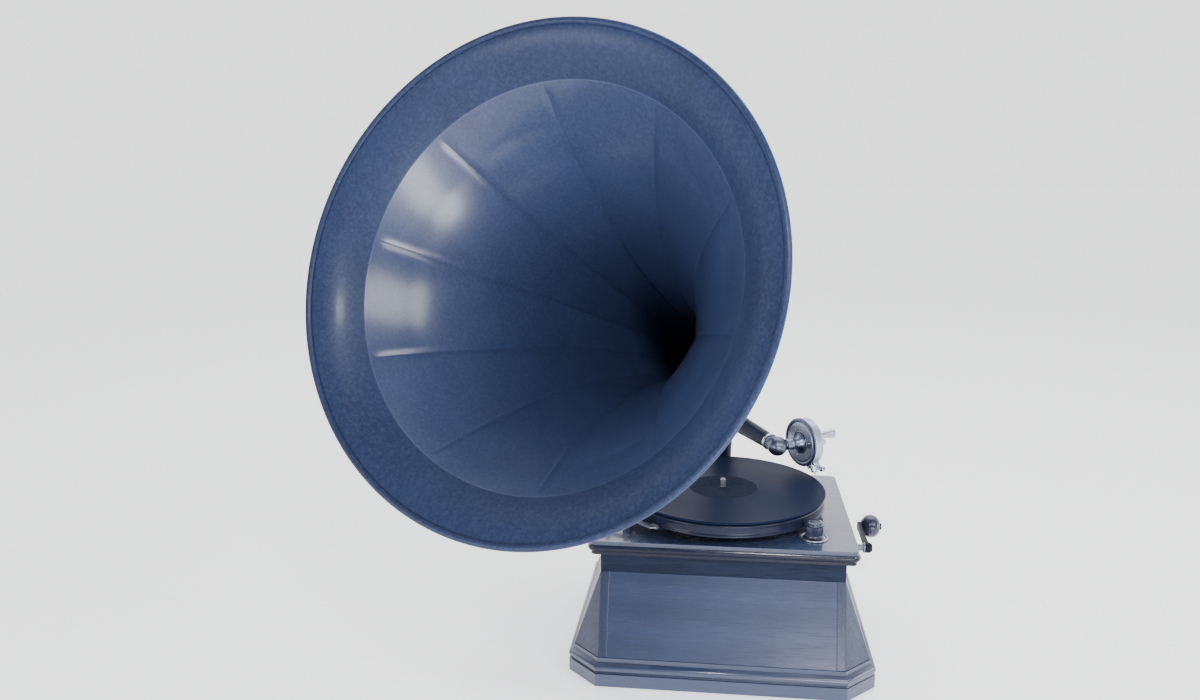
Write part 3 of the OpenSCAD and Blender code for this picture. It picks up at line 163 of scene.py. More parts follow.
# materials
class Graph:  # a material's nodes, with short ways to add and join them
    def __init__(self, name):
        self.mat = bpy.data.materials.new(name)
        self.mat.use_nodes = True
        self.tree = self.mat.node_tree
        self.surface = self.tree.nodes["Principled BSDF"]

    def add(self, kind, inputs, **settings):
        node = self.tree.nodes.new("ShaderNode" + kind)
        for key, value in settings.items():
            setattr(node, key, value)
        return self.fill(node, inputs)

    def fill(self, node, inputs):  # an output is joined to its input, and a number or colour is set on it
        for key, value in inputs.items():
            if isinstance(value, bpy.types.NodeSocket):
                self.tree.links.new(value, node.inputs[key])
            else:
                node.inputs[key].default_value = value
        return node

    def place(self, scale=(1, 1, 1), turn=(0, 0, 0), shift=(0, 0, 0)):  # object coordinates in metres
        where = self.add("TexCoord", {}).outputs["Object"]
        inputs = {"Vector": where, "Scale": scale, "Rotation": turn, "Location": shift}
        return self.add("Mapping", inputs).outputs["Vector"]

    def noise(self, scale, detail=4, rough=0.55, distort=0.0, at=None):
        inputs = {"Vector": at or self.place(), "Scale": scale, "Detail": detail, "Roughness": rough}
        return self.add("TexNoise", dict(inputs, Distortion=distort)).outputs["Fac"]

    def ramp(self, value, stops):  # stops are (place, colour)
        node = self.add("ValToRGB", {"Fac": value})
        marks = node.color_ramp.elements
        marks[0].position, marks[0].color = stops[0][0], shade(stops[0][1])
        marks[1].position, marks[1].color = stops[-1][0], shade(stops[-1][1])
        for at, colour in stops[1:-1]:
            marks.new(at).color = shade(colour)
        return node.outputs["Color"]

    def span(self, value, low, high, fromLow=0.0, fromHigh=1.0):  # a straight map from one range to another
        inputs = {"Value": value, "From Min": fromLow, "From Max": fromHigh, "To Min": low, "To Max": high}
        return self.add("MapRange", inputs).outputs["Result"]

    def mix(self, share, a, b, mode="MIX"):
        inputs = {0: share, 6: shade(a), 7: shade(b)}
        return self.add("Mix", inputs, data_type="RGBA", blend_type=mode).outputs[2]

    def sum(self, a, b, kind="ADD"):
        return self.add("Math", {0: a, 1: b}, operation=kind).outputs["Value"]

    def times(self, a, b):
        return self.sum(a, b, "MULTIPLY")

    def radius(self, where):  # distance from the z axis
        flat = self.add("VectorMath", {0: where, 1: (1, 1, 0)}, operation="MULTIPLY")
        return self.add("VectorMath", {0: flat.outputs["Vector"]}, operation="LENGTH").outputs["Value"]

    def height(self, where):
        return self.add("SeparateXYZ", {0: where}).outputs["Z"]

    def bump(self, height, distance, strength=1.0, after=None):
        node = self.add("Bump", {"Height": height, "Distance": distance, "Strength": strength})
        if after:
            self.fill(node, {"Normal": after})
        return node.outputs["Normal"]

    def worn(self, low, high):  # lighter where edges stick out
        return self.span(self.add("NewGeometry", {}).outputs["Pointiness"], 0, 1, low, high)

    def finish(self, colour, roughness, normal, **inputs):  # an underscore in an input stands for a space
        self.fill(self.surface, {"Base Color": colour, "Roughness": roughness, "Normal": normal})
        self.fill(self.surface, {key.replace("_", " "): value for key, value in inputs.items()})
        return self.mat


def shade(colour):  # a colour of three numbers gets its alpha, and anything else stays
    return colour + (1,) if isinstance(colour, tuple) and len(colour) == 3 else colour


def scaled(colour, share):
    return tuple(c * share for c in colour)


woodLooks = {  # colours, gloss, the patterns' scales and what each adds to the tone
    "pale": (0.029, 0.043, 0.099), "mid": (0.012, 0.0195, 0.05), "dark": (0.0035, 0.006, 0.019), "lift": 1.0,
    "gloss": 0.34, "shine": 0.4, "coat": 0.3, "coatRough": 0.2, "stretch": 0.12, "poreStretch": 0.035,
    "scales": {"fibre": 260, "bands": 9, "bend": 7, "mottle": 420, "pores": 900, "haze": 21},
    "shares": {"fibre": 0.42, "bands": 0.14, "bend": 0.22, "mottle": 0.36},
    "stops": (0.33, 0.55, 0.82), "poreShare": 0.7, "poreDark": 0.35, "wornShare": 0.45, "wornPale": 1.7,
    "heart": (0.31, 0.17, 0.12), "paintedShadeBelowZ": None,
}


def stainedOak(name, grain, **changes):
    # fibres are noise stretched along the grain, growth bands a bent wave across it, pores short dark dashes
    g, own = Graph(name), dict(woodLooks, **changes)
    scales, gloss = own["scales"], own["gloss"]
    along = tuple(own["stretch"] if axis == grain else 1 for axis in "xyz")
    dashed = tuple(own["poreStretch"] if axis == grain else 1 for axis in "xyz")
    fibre = g.noise(scales["fibre"], 6, 0.62, at=g.place(along))
    waves = {"Vector": g.place(along, shift=own["heart"]), "Scale": scales["bands"], "Distortion": 5,
             "Detail": 3, "Detail Scale": 1.2}
    bands = g.add("TexWave", waves, wave_type="RINGS", rings_direction=grain.upper())
    bend = g.noise(scales["bend"], 3, at=g.place(tuple(0.5 + 0.5 * a for a in along)))
    mottle = g.noise(scales["mottle"], 3, 0.7)
    pit = g.span(g.noise(scales["pores"], 2, 0.5, at=g.place(dashed)), 1, 0, 0.34, 0.46)
    tone = g.times(fibre, own["shares"]["fibre"])
    for key, pattern in (("bands", bands.outputs["Fac"]), ("bend", bend), ("mottle", mottle)):
        tone = g.sum(tone, g.times(pattern, own["shares"][key]))
    dark, mid, pale = (scaled(own[key], own["lift"]) for key in ("dark", "mid", "pale"))
    colour = g.ramp(tone, list(zip(own["stops"], (dark, mid, pale))))
    colour = g.mix(g.times(pit, own["poreShare"]), colour, scaled(dark, own["poreDark"]))
    colour = g.mix(g.times(g.worn(0.52, 0.62), own["wornShare"]), colour, scaled(pale, own["wornPale"]))
    rough = g.span(g.noise(scales["haze"], 4), gloss - 0.07, gloss + 0.13)
    rough = g.sum(rough, g.times(pit, 0.18))
    normal = g.bump(fibre, 0.00008, 0.35, g.bump(pit, -0.00012, 0.5))
    coat = own["coat"]
    if own["paintedShadeBelowZ"]:  # below a given height the lid is painted dark, as painted shade under its edge, and its coat fades out
        upper = g.span(g.height(g.place()), 0, 1, own["paintedShadeBelowZ"] - 0.002, own["paintedShadeBelowZ"])
        coat, colour = g.times(upper, coat), g.mix(upper, dark, colour)
    return g.finish(colour, rough, normal, Coat_Weight=coat, Coat_Roughness=own["coatRough"],
                    Specular_IOR_Level=own["shine"])


enamelLooks = {
    "cloud": 9, "dust": 330, "scuff": 160, "peel": 170, "swell": 26, "deep": 0.72, "coatRough": 0.16,
    "dustShare": 0.22, "scuffShare": 0.1, "wornShare": 0.5, "wornPale": 1.6, "peelHigh": 0.00004,
    "swellHigh": 0.00016,
}


def enamel(name, colour, pale, gloss, scale, coat, shine):
    # slow cloudy colour under fine dust, scuffs and rubbed edges, with an orange peel bump
    g, own = Graph(name), enamelLooks
    cloud = g.noise(own["cloud"] * scale, 5, 0.6)
    dust = g.span(g.noise(own["dust"] * scale, 2, 0.6), 0, 1, 0.4, 0.8)
    slanted = g.place((1, 1, 0.25), turn=(0.4, 0.2, 0.9))
    scuff = g.noise(own["scuff"] * scale, 5, 0.7, 0.6, slanted)
    scuffed = g.span(scuff, 0, 1, 0.5, 0.85)
    base = g.ramp(cloud, [(0.3, scaled(colour, own["deep"])), (0.7, colour)])
    base = g.mix(g.times(dust, own["dustShare"]), base, pale)
    base = g.mix(g.times(scuffed, own["scuffShare"]), base, pale)
    base = g.mix(g.times(g.worn(0.53, 0.66), own["wornShare"]), base, scaled(pale, own["wornPale"]))
    rough = g.sum(g.span(cloud, gloss - 0.05, gloss + 0.1), g.times(scuffed, 0.05))
    normal = g.bump(g.noise(own["peel"] * scale, 2), own["peelHigh"], 0.4)
    normal = g.bump(g.noise(own["swell"] * scale, 2), own["swellHigh"], 0.4, normal)
    return g.finish(base, rough, normal, Coat_Weight=coat, Coat_Roughness=own["coatRough"],
                    Specular_IOR_Level=shine)


metalLooks = {"patch": 60, "spots": 420, "lines": 900, "deep": 0.72, "spotShare": 0.6, "scratch": 0.000012}


def plated(name, colour, tarnish, gloss, brushed=(1, 1, 1), rings=None):
    # bright metal with dull patches, fine scratches, spots of tarnish, and darker rings round an axis
    g, own = Graph(name), metalLooks
    patch = g.noise(own["patch"], 5, 0.65)
    spot = g.span(g.noise(own["spots"], 4, 0.7), 0, 1, 0.62, 0.72)
    lines = g.noise(own["lines"], 3, 0.6, at=g.place(brushed))
    base = g.ramp(patch, [(0.35, scaled(colour, own["deep"])), (0.65, colour)])
    base = g.mix(g.times(spot, own["spotShare"]), base, tarnish)
    if rings:
        local, level = rings["frame"], rings["level"] * mm
        where = g.place(turn=tuple(local.to_euler()), shift=tuple(local.translation * mm))
        tone = g.ramp(g.span(g.radius(where), 0, 1, 0, rings["reach"] * mm), rings["stops"])
        behind = g.span(g.height(where), 1, 0, level - 0.0005, level)
        base = g.mix(behind, base, g.mix(1.0, base, tone, "MULTIPLY"))
    rough = g.sum(g.span(patch, gloss + 0.16, gloss), g.span(lines, -0.05, 0.09))
    rough = g.sum(rough, g.times(spot, 0.25))
    return g.finish(base, rough, g.bump(lines, own["scratch"], 0.5), Metallic=1.0)


shellacLooks = {  # metres from the spindle, and colours
    "centre": (0, 0.007, 0), "pitch": 0.0009, "first": (0.1205, 0.1215), "last": (0.0505, 0.052),
    "label": (0.0418, 0.0424), "deep": 0.00004, "shine": 0.035,
    "black": (0.007, 0.0125, 0.036), "dust": (0.05, 0.07, 0.14),
    "paper": [(0.3, (0.008, 0.011, 0.024)), (0.7, (0.016, 0.022, 0.044))],
}


def blackShellac(name):
    # grooves are rings of bump about the spindle, quiet in places and absent on the bare label
    g, own = Graph(name), shellacLooks
    radius = g.radius(g.place(shift=own["centre"]))
    ripple = g.sum(g.times(radius, 2 * pi / own["pitch"]), 0, "SINE")
    played = g.times(g.span(radius, 0, 1, *own["last"]), g.span(radius, 1, 0, *own["first"]))
    loud = g.span(g.noise(33, 3), 0.35, 1.0)
    groove = g.times(g.times(ripple, played), loud)
    dust = g.span(g.noise(1500, 2, 0.6), 0, 1, 0.6, 0.8)
    haze = g.noise(14, 4)
    label = g.span(radius, 1, 0, *own["label"])
    base = g.mix(g.times(dust, 0.25), own["black"], own["dust"])
    base = g.mix(label, base, g.ramp(g.noise(300, 4), own["paper"]))
    rough = g.sum(g.span(haze, 0.3, 0.5), g.times(label, 0.3))
    return g.finish(base, rough, g.bump(groove, own["deep"], 0.35), Specular_IOR_Level=own["shine"])


softLooks = {
    "felt": [(0.3, (0.02, 0.03, 0.045)), (0.7, (0.07, 0.09, 0.12))],
    "mica": [(0.35, (0.36, 0.34, 0.28)), (0.65, (0.62, 0.6, 0.52))],
    "rubber": [(0.3, (0.012, 0.012, 0.014)), (0.7, (0.04, 0.04, 0.045))],
}


def feltCloth(name):  # fine fuzz over slow blotches, with a fibre's sheen
    g = Graph(name)
    fuzz, blotch = g.noise(1300, 4, 0.75), g.noise(40, 3)
    base = g.ramp(g.sum(g.times(fuzz, 0.6), g.times(blotch, 0.4)), softLooks["felt"])
    return g.finish(base, g.span(fuzz, 0.8, 0.98), g.bump(fuzz, 0.0003, 0.7), Sheen_Weight=0.4)


def micaSheet(name):  # bent flakes that let some light through
    g = Graph(name)
    flake = g.noise(90, 5, 0.7, 0.8)
    return g.finish(g.ramp(flake, softLooks["mica"]), g.span(flake, 0.08, 0.26), g.bump(flake, 0.00006, 0.4),
                    Transmission_Weight=0.35, IOR=1.56)


def softRubber(name):  # one fine grain for colour, gloss and bump
    g = Graph(name)
    grain = g.noise(800, 3, 0.6)
    return g.finish(g.ramp(grain, softLooks["rubber"]), g.span(grain, 0.55, 0.8), g.bump(grain, 0.0001, 0.5))


# sizes in millimetres that several pieces need, and the frames of the spindle, the arm and the sound box
case = {"lidTop": 164, "spindleY": -7, "platterR": 124}
arm = {
    "back": 165, "z": 238, "drop": 7, "length": 140, "rest": 29.1, "yaw": 4.9, "root": 13, "end": 10,
    "short": 16, "ball": 12.5, "boss": 18, "bossLow": 214, "bossTop": 261, "bossBore": 15.5, "bossFloor": 8,
    "pinBore": 3.1,
}
arm["tilt"] = degrees(atan2(arm["drop"], arm["length"]))
arm["tube"] = hypot(arm["length"], arm["drop"]) - arm["short"]
atSpindle = moved(0, case["spindleY"], 0)
atArm = moved(0, arm["back"], 0) @ turnedBy(arm["rest"] - 90, "Z")
alongArm = atArm @ moved(0, 0, arm["z"]) @ turnedBy(90 + arm["tilt"], "Y")
atBall = atArm @ moved(arm["length"], 0, arm["z"] - arm["drop"])
atBox = atBall @ turnedBy(90 + arm["yaw"], "Z") @ turnedBy(90, "Y")

boxRings = {
    "frame": atBox.inverted(), "reach": 32, "level": 38,
    "stops": [(0.0, (0.5, 0.52, 0.6)), (0.28, (0.45, 0.48, 0.56)), (0.4, (0.3, 0.33, 0.42)),
              (0.47, (1, 1, 1)), (0.8, (1, 1, 1)), (0.86, (0.3, 0.33, 0.45)), (1.0, (0.35, 0.38, 0.5))],
}
oaks = {  # the grain's direction, and what differs from woodLooks
    "caseOakAcross": ("x", {}),
    "caseOakSide": ("y", {"shine": 0.2, "coat": 0.05}),
    "caseOakUpright": ("z", {}),
    "plinthOak": ("x", {"coat": 0.9, "coatRough": 0.14}),
    # the neck under the lid is painted darker (lift 0.42), as painted shade from the lid above it
    "neckOakPaintedShade": ("x", {"coat": 0.0, "gloss": 0.5, "shine": 0.12, "lift": 0.42}),
    # the lid is painted dark below the given height, as painted shade under its edge
    "lidOak": ("x", {"gloss": 0.24, "shine": 0.3, "coat": 1.0, "coatRough": 0.13, "paintedShadeBelowZ": 0.1585}),
    "rawBoard": ("x", {"pale": (0.36, 0.27, 0.18), "mid": (0.25, 0.18, 0.115), "dark": (0.13, 0.09, 0.055),
                       "gloss": 0.62, "coat": 0.0}),
}
enamels = {  # colour, paler colour, gloss, the patterns' scale, coat and shine
    "hornEnamel": ((0.03, 0.045, 0.11), (0.1, 0.13, 0.24), 0.28, 1.0, 0.4, 0.4),
    "brimEnamel": ((0.019, 0.03, 0.079), (0.08, 0.105, 0.2), 0.36, 1.0, 0.05, 0.16),
    "japanBlack": ((0.009, 0.0125, 0.03), (0.04, 0.05, 0.09), 0.36, 2.0, 0.0, 0.1),
    "crankBlack": ((0.006, 0.008, 0.016), (0.02, 0.024, 0.042), 0.4, 3.0, 0.0, 0.12),
    "platterJapan": ((0.008, 0.012, 0.03), (0.04, 0.05, 0.09), 0.2, 2.0, 0.15, 0.12),
    "ebonisedKnob": ((0.016, 0.022, 0.05), (0.08, 0.095, 0.15), 0.22, 3.0, 0.4, 0.4),
}
metals = {  # colour, tarnish, gloss, how the scratches are stretched, and rings
    "nickel": ((0.56, 0.6, 0.7), (0.16, 0.17, 0.22), 0.2),
    # the ball's nickel is painted darker than the other nickel, as painted shade
    "shadedBallNickel": ((0.13, 0.15, 0.21), (0.07, 0.08, 0.11), 0.28),
    "soundBoxNickel": ((0.5, 0.54, 0.65), (0.13, 0.14, 0.2), 0.26, (1, 1, 1), boxRings),
    "groundSteel": ((0.42, 0.44, 0.49), (0.09, 0.09, 0.11), 0.3, (1, 1, 0.1)),
    "dulledSteel": ((0.2, 0.22, 0.28), (0.05, 0.05, 0.07), 0.36),
    "plateSteel": ((0.5, 0.51, 0.53), (0.2, 0.18, 0.15), 0.34, (0.1, 1, 1)),
    "cutBrass": ((0.62, 0.45, 0.18), (0.2, 0.13, 0.06), 0.27),
    "bluedSteel": ((0.07, 0.1, 0.2), (0.03, 0.03, 0.05), 0.3, (1, 1, 0.1)),
}
looks = {name: stainedOak(name, grain, **changes) for name, (grain, changes) in oaks.items()}
looks.update({name: enamel(name, *values) for name, values in enamels.items()})
looks.update({name: plated(name, *values) for name, values in metals.items()})
soft = {"shellac": blackShellac, "felt": feltCloth, "mica": micaSheet, "rubber": softRubber}
looks.update({name: make(name) for name, make in soft.items()})

nodeLooks = {
    "caseOakAcross": ["front_board", "rear_board"],
    "caseOakSide": ["left_board", "right_board"],
    "caseOakUpright": ["corner_posts"],
    "plinthOak": ["plinth"],
    "neckOakPaintedShade": ["neck_frame"],
    "lidOak": ["lid_board"],
    "rawBoard": ["bottom_board"],
    "nickel": ["crank_bush", "regulator_plate", "arm_ball", "horn_clamp_screw", "arm_pivot", "needle_screw",
               "stylus_bar"],
    "soundBoxNickel": ["box_housing", "box_front"],
    "platterJapan": ["platter"],
    "groundSteel": ["spindle", "train_arbor", "barrel_arbor", "governor_shaft", "motor_screws",
                    "bracket_screws", "needle"],
    "dulledSteel": ["winding_pinion", "ratchet_wheel", "click", "brake_post", "brake_lever", "winding_shaft"],
    "crankBlack": ["crank_arm"],
    "plateSteel": ["motor_top_plate", "motor_bottom_plate", "winding_bracket", "governor_lever"],
    "cutBrass": ["worm_wheel", "train_wheel", "crown_wheel", "motor_pillars", "spring_barrel", "barrel_cap",
                 "governor_weights", "governor_disc"],
    "bluedSteel": ["mainspring", "governor_springs"],
    "rubber": ["motor_washers", "box_gaskets"],
    "japanBlack": ["horn_bracket", "horn_elbow", "tone_arm", "horn_ferrule"],
    "hornEnamel": ["horn_bell"],
    "brimEnamel": ["horn_brim"],
    "shellac": ["record"],
    "felt": ["felt_mat"],
    "mica": ["diaphragm"],
    "ebonisedKnob": ["crank_knob", "regulator_knob"],
}


def dressNodes():
    for look, names in nodeLooks.items():
        for name in names:
            mesh = nodes[name].data
            mesh.materials.clear()
            mesh.materials.append(looks[look])


dressNodes()
print("materials are on the packed nodes")


# surfaces from grids of points, in millimetres until they are put into a mesh
def gridFaces(rows, cols, wrapRows):  # quads between neighbours; the last column joins the first
    i, j = np.meshgrid(np.arange(rows if wrapRows else rows - 1), np.arange(cols), indexing="ij")
    iNext, jNext = (i + 1) % rows, (j + 1) % cols
    quads = [i * cols + j, i * cols + jNext, iNext * cols + jNext, iNext * cols + j]
    return np.stack(quads, -1).reshape(-1, 4)


def signedVolume(points, quads):  # sum of the tetrahedra from the origin to each quad's two triangles
    a, b, c, d = (points[quads[:, k]] for k in range(4))
    return (np.einsum("ij,ij->i", a, np.cross(b, c)) + np.einsum("ij,ij->i", a, np.cross(c, d))).sum() / 6


def shell(grid, matrix=None, wrapRows=False):  # one closed part: its points and its quads, facing outwards
    rows, cols = grid.shape[:2]
    points, quads = atPlace(grid, matrix).reshape(-1, 3), gridFaces(rows, cols, wrapRows)
    centred = points - points.mean(0)
    return points, quads if signedVolume(centred, quads) > 0 else quads[:, ::-1]


def meshFrom(name, parts, nearest=0.0005):
    # the parts' points are rounded and counted once in each part; a quad that loses a side becomes a triangle
    starts = np.cumsum([0] + [len(points) for points, quads in parts])
    points = np.concatenate([points for points, quads in parts])
    quads = np.concatenate([quads + start for (points, quads), start in zip(parts, starts)])
    owner = np.repeat(np.arange(len(parts)), np.diff(starts))
    key = np.column_stack([owner, np.round(points / nearest).astype(np.int64)])
    first, inverse = np.unique(key, axis=0, return_index=True, return_inverse=True)[1:]
    quads = inverse.reshape(-1)[quads]
    same = quads == np.roll(quads, -1, axis=1)
    whole, pointed = quads[same.sum(1) == 0], quads[same.sum(1) == 1]
    turn = (same[same.sum(1) == 1].argmax(1)[:, None] + 1 + np.arange(3)) % 4
    triangles = np.take_along_axis(pointed, turn, 1)
    mesh = bpy.data.meshes.new(name)
    mesh.from_pydata((points[first] * mm).tolist(), [], whole.tolist() + triangles.tolist())
    mesh.validate()
    return mesh


def addPiece(name, parts, body, look, stands=(), crease=38):
    # one object from its closed parts, sharp where two faces meet at more than the crease angle
    mesh = meshFrom(name, parts)
    mesh.shade_smooth()
    mesh.set_sharp_from_angle(angle=radians(crease))
    mesh.materials.append(looks[look])
    obj = inScene(name, mesh)
    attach(obj, body)
    if stands:
        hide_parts(*stands)
    return obj


def fuse(obj, voxel, rounds):  # parts run together as in a casting: one outer skin, softened by averaging
    look = obj.data.materials[0]
    remesh = obj.modifiers.new("cast", "REMESH")
    remesh.mode = "VOXEL"
    remesh.voxel_size = voxel * mm
    soft = obj.modifiers.new("soft", "SMOOTH")
    soft.factor, soft.iterations = 0.5, rounds
    done = bpy.data.meshes.new_from_object(obj.evaluated_get(bpy.context.evaluated_depsgraph_get()))
    obj.modifiers.clear()
    obj.data = done
    done.shade_smooth()
    done.materials.clear()
    done.materials.append(look)


def atPlace(points, matrix):  # local points turned and shifted by a 4x4, if there is one
    if matrix is None:
        return points
    m = np.array(matrix)
    return points @ m[:3, :3].T + m[:3, 3]


def circle(radius, angles):  # points of a circle in two dimensions
    return radius * np.column_stack([np.cos(angles), np.sin(angles)])


def softCorners(points, reach, steps=4, closed=True):
    # each corner becomes a curve between a point on the edge before it and one on the edge after it
    p = np.asarray(points, float)
    before, after = np.roll(p, 1, axis=0) - p, np.roll(p, -1, axis=0) - p
    t = np.linspace(0, 1, steps + 1)[None, :, None]
    share = lambda edge: np.minimum(reach / np.maximum(np.linalg.norm(edge, axis=1), 1e-9), 0.45)[:, None]
    a, b = (p + before * share(before))[:, None], (p + after * share(after))[:, None]
    curve = (1 - t) ** 2 * a + 2 * t * (1 - t) * p[:, None] + t ** 2 * b
    if closed:
        return curve.reshape(-1, p.shape[1])
    return np.concatenate([p[:1], curve[1:-1].reshape(-1, p.shape[1]), p[-1:]])


def lathe(profile, count=96, matrix=None, closed=False, flute=None):
    # a profile of (radius, height) carried round z; a flute adds to the radius by radius, height and angle
    angle = np.arange(count) * 2 * pi / count
    r, z = np.asarray(profile, float).T[:, :, None]
    if flute:
        r = r + flute(r, z, angle[None, :])
    grid = np.stack([r * np.cos(angle), r * np.sin(angle), z + 0 * angle], -1)
    return shell(grid, matrix, closed)


def softRing(profile, reach, steps, count, matrix):  # a closed profile with soft corners carried round z
    return lathe(softCorners(profile, reach, steps), count, matrix, closed=True)


def softKnob(profile, reach, steps, count, matrix):  # the same for a profile that starts and ends on the axis
    return lathe(softCorners(profile, reach, steps, closed=False), count, matrix)


def peg(radius, low, high, count, matrix):  # a plain round bar
    return lathe([[0, low], [radius, low], [radius, high], [0, high]], count, matrix)


def knurl(inside, low, high, deep, teeth, proud=0):
    # a cosine round the wall, outside a radius and between two levels
    def flute(radius, level, angle):
        wave = deep * np.cos(teeth * angle) - deep + proud
        return np.where((radius > inside) & (level > low) & (level < high), wave, 0)
    return flute


def sweep(centres, across, upward, radii, count=40, matrix=None, wall=0):
    # a circle carried along a path on two given axes: a round bar, or a tube that comes back along its inside
    angle = np.arange(count) * 2 * pi / count
    ring = np.cos(angle)[None, :, None] * across[:, None] + np.sin(angle)[None, :, None] * upward[:, None]
    radii = np.asarray(radii, float)[:, None, None]
    outer = centres[:, None] + ring * radii
    if wall:
        grid = np.concatenate([outer, (centres[:, None] + ring * (radii - wall))[::-1]])
    else:
        caps = [np.repeat(centres[end][None, None], count, 1) for end in (0, -1)]
        grid = np.concatenate([caps[0], outer, caps[1]])
    return shell(grid, matrix, bool(wall))


def levelPath(points, reach, steps=9):
    # a bar's centre line in one upright plane: straight runs with round corners, and the sections' two axes
    line = softCorners(points, reach, steps, closed=False)
    ahead = np.gradient(line, axis=0)
    ahead /= np.linalg.norm(ahead, axis=1)[:, None]
    sideways = np.tile([1.0, 0.0, 0.0], (len(line), 1))
    return line, sideways, np.cross(ahead, sideways)


def plank(outline, low, high, matrix=None, bevel=0.4, corner=0.8):
    # a flat outline with soft corners, raised from low to high, its edges eased towards its middle
    flat = softCorners(outline, corner, 3)
    inward = flat - flat.mean(0)
    ease = flat - inward / np.maximum(np.linalg.norm(inward, axis=1), 1e-9)[:, None] * bevel
    middle = np.repeat(flat.mean(0)[None], len(flat), 0)
    levels = [(middle, low), (ease, low), (flat, low + bevel)]
    levels += [(flat, high - bevel), (ease, high), (middle, high)]
    return shell(np.stack([np.column_stack([xy, np.full(len(xy), z)]) for xy, z in levels]), matrix)


def slottedHead(radius, high, matrix, dome=0.5, slot=1.2):
    # a disc with two half moons on it, which leave the slot between them
    disc = peg(radius, 0, high * 0.55, 48, matrix)
    turn = np.arcsin(slot / 2 / radius)
    moon = circle(radius, np.linspace(turn, pi - turn, 22))
    return [disc] + [plank(moon * side, high * 0.5, high, matrix, dome * 0.6, 0.2) for side in (1, -1)]


# the horn: elbow, ferrule, bell of gores and spun brim
horn = {
    "back": 165, "elbowZ": 307, "turn": 18.3, "rise": 18.9, "length": 596, "mouth": 231, "bell": 186,
    "throat": 23.3, "throatZ": 62.44, "brim": 32, "bead": 3.2, "sheet": 0.8, "rows": 96, "crowd": 1.25,
    "gores": 10, "goreStart": 8, "flat": 0.75, "elbowR": 20, "bendR": 30, "foot": 263.9, "elbowWall": 1.5,
}
seam = {
    "across": (-1, -0.55, 0, 0.55, 1), "high": (0, 0.8, 1, 0.8, 0), "half": 1.9, "proud": 2.2, "inside": 0.55,
    "fadeEnd": 0.985, "fadeLong": 0.03,
}
atElbow = moved(0, horn["back"], horn["elbowZ"]) @ turnedBy(-90 - horn["turn"], "Z")
alongHorn = atElbow @ turnedBy(90 - horn["rise"], "Y")
creaseZ = horn["length"] - horn["brim"]


def goreSheet(k, rise, outward):
    # radius grows by the same share per step; panels are flatter than their circle, and seams are low ridges
    run = creaseZ - horn["throatZ"]
    flare = log(horn["bell"] / horn["throat"]) / run
    z = horn["throatZ"] + run * (1 - (1 - k) ** horn["crowd"])
    r = horn["throat"] * np.exp(flare * (z - horn["throatZ"])) + outward
    flat = horn["flat"] * np.sin(pi * np.minimum(1, k * 1.15)) ** 0.7
    step = 2 * pi / horn["gores"]
    width = np.minimum(seam["half"] / r, step / 6)[:, None]
    panel = np.linspace(0, 1, 16)[1:-1]
    offset = np.concatenate([np.array(seam["across"]) * width, width + panel * (step - 2 * width)], axis=1)
    ridge = np.concatenate([seam["high"], 0 * panel])
    fade = np.clip((seam["fadeEnd"] - k) / seam["fadeLong"], 0, 1)[:, None]
    inPanel = np.abs((offset % step) - step / 2)
    shrink = 1 - flat[:, None] * (1 - np.cos(step / 2) / np.cos(inPanel))
    radius = r[:, None] * shrink + ridge * rise * fade
    angle = radians(horn["goreStart"]) + offset[:, None, :] + step * np.arange(horn["gores"])[None, :, None]
    radius = np.repeat(radius[:, None, :], horn["gores"], axis=1)
    grid = np.stack([radius * np.cos(angle), radius * np.sin(angle), z[:, None, None] + 0 * angle], -1)
    return grid.reshape(len(k), -1, 3)


def addBell():  # the outer sheet goes up to the brim and the inner one comes back
    k = np.linspace(0, 1, horn["rows"])
    outer, inner = goreSheet(k, seam["proud"], horn["sheet"]), goreSheet(k, seam["inside"], 0)
    sheet = shell(np.concatenate([outer, inner[::-1]]), alongHorn, True)
    addPiece("hornBell", [sheet], "horn", "hornEnamel", ["horn_bell"], 30)


def addBrim():
    # the front curves out steeply, then flattens; the bead is a circle; the back runs beside the front
    bell, bead = horn["bell"], horn["bead"]
    run, depth = horn["mouth"] - bead - bell, horn["brim"] - 0.3 - bead
    k = np.linspace(0, 0.985, 44)
    front = np.column_stack([bell + run * k, creaseZ + 0.3 + depth * (1 - (1 - k) ** 1.7)])
    slope = np.gradient(front, axis=0)
    normal = np.column_stack([slope[:, 1], -slope[:, 0]]) / np.linalg.norm(slope, axis=1)[:, None]
    behind = (front + normal * horn["sheet"])[::-1]
    edge = circle(bead, np.radians(np.linspace(165, -165, 30)))
    beadRing = [horn["mouth"] - bead, horn["length"] - bead] + edge
    lip = bell + horn["sheet"] + 0.3
    lipRing = [[lip + 0.8, creaseZ + 0.6], [lip + 0.8, creaseZ - 5], [lip, creaseZ - 5], [lip, creaseZ + 0.3]]
    profile = np.concatenate([front, beadRing, behind[behind[:, 0] > lip + 1], softCorners(lipRing, 0.4, 2)])
    turned = lathe(profile, 288, alongHorn, closed=True)
    addPiece("hornBrim", [turned], "horn", "brimEnamel", ["horn_brim"], 42)


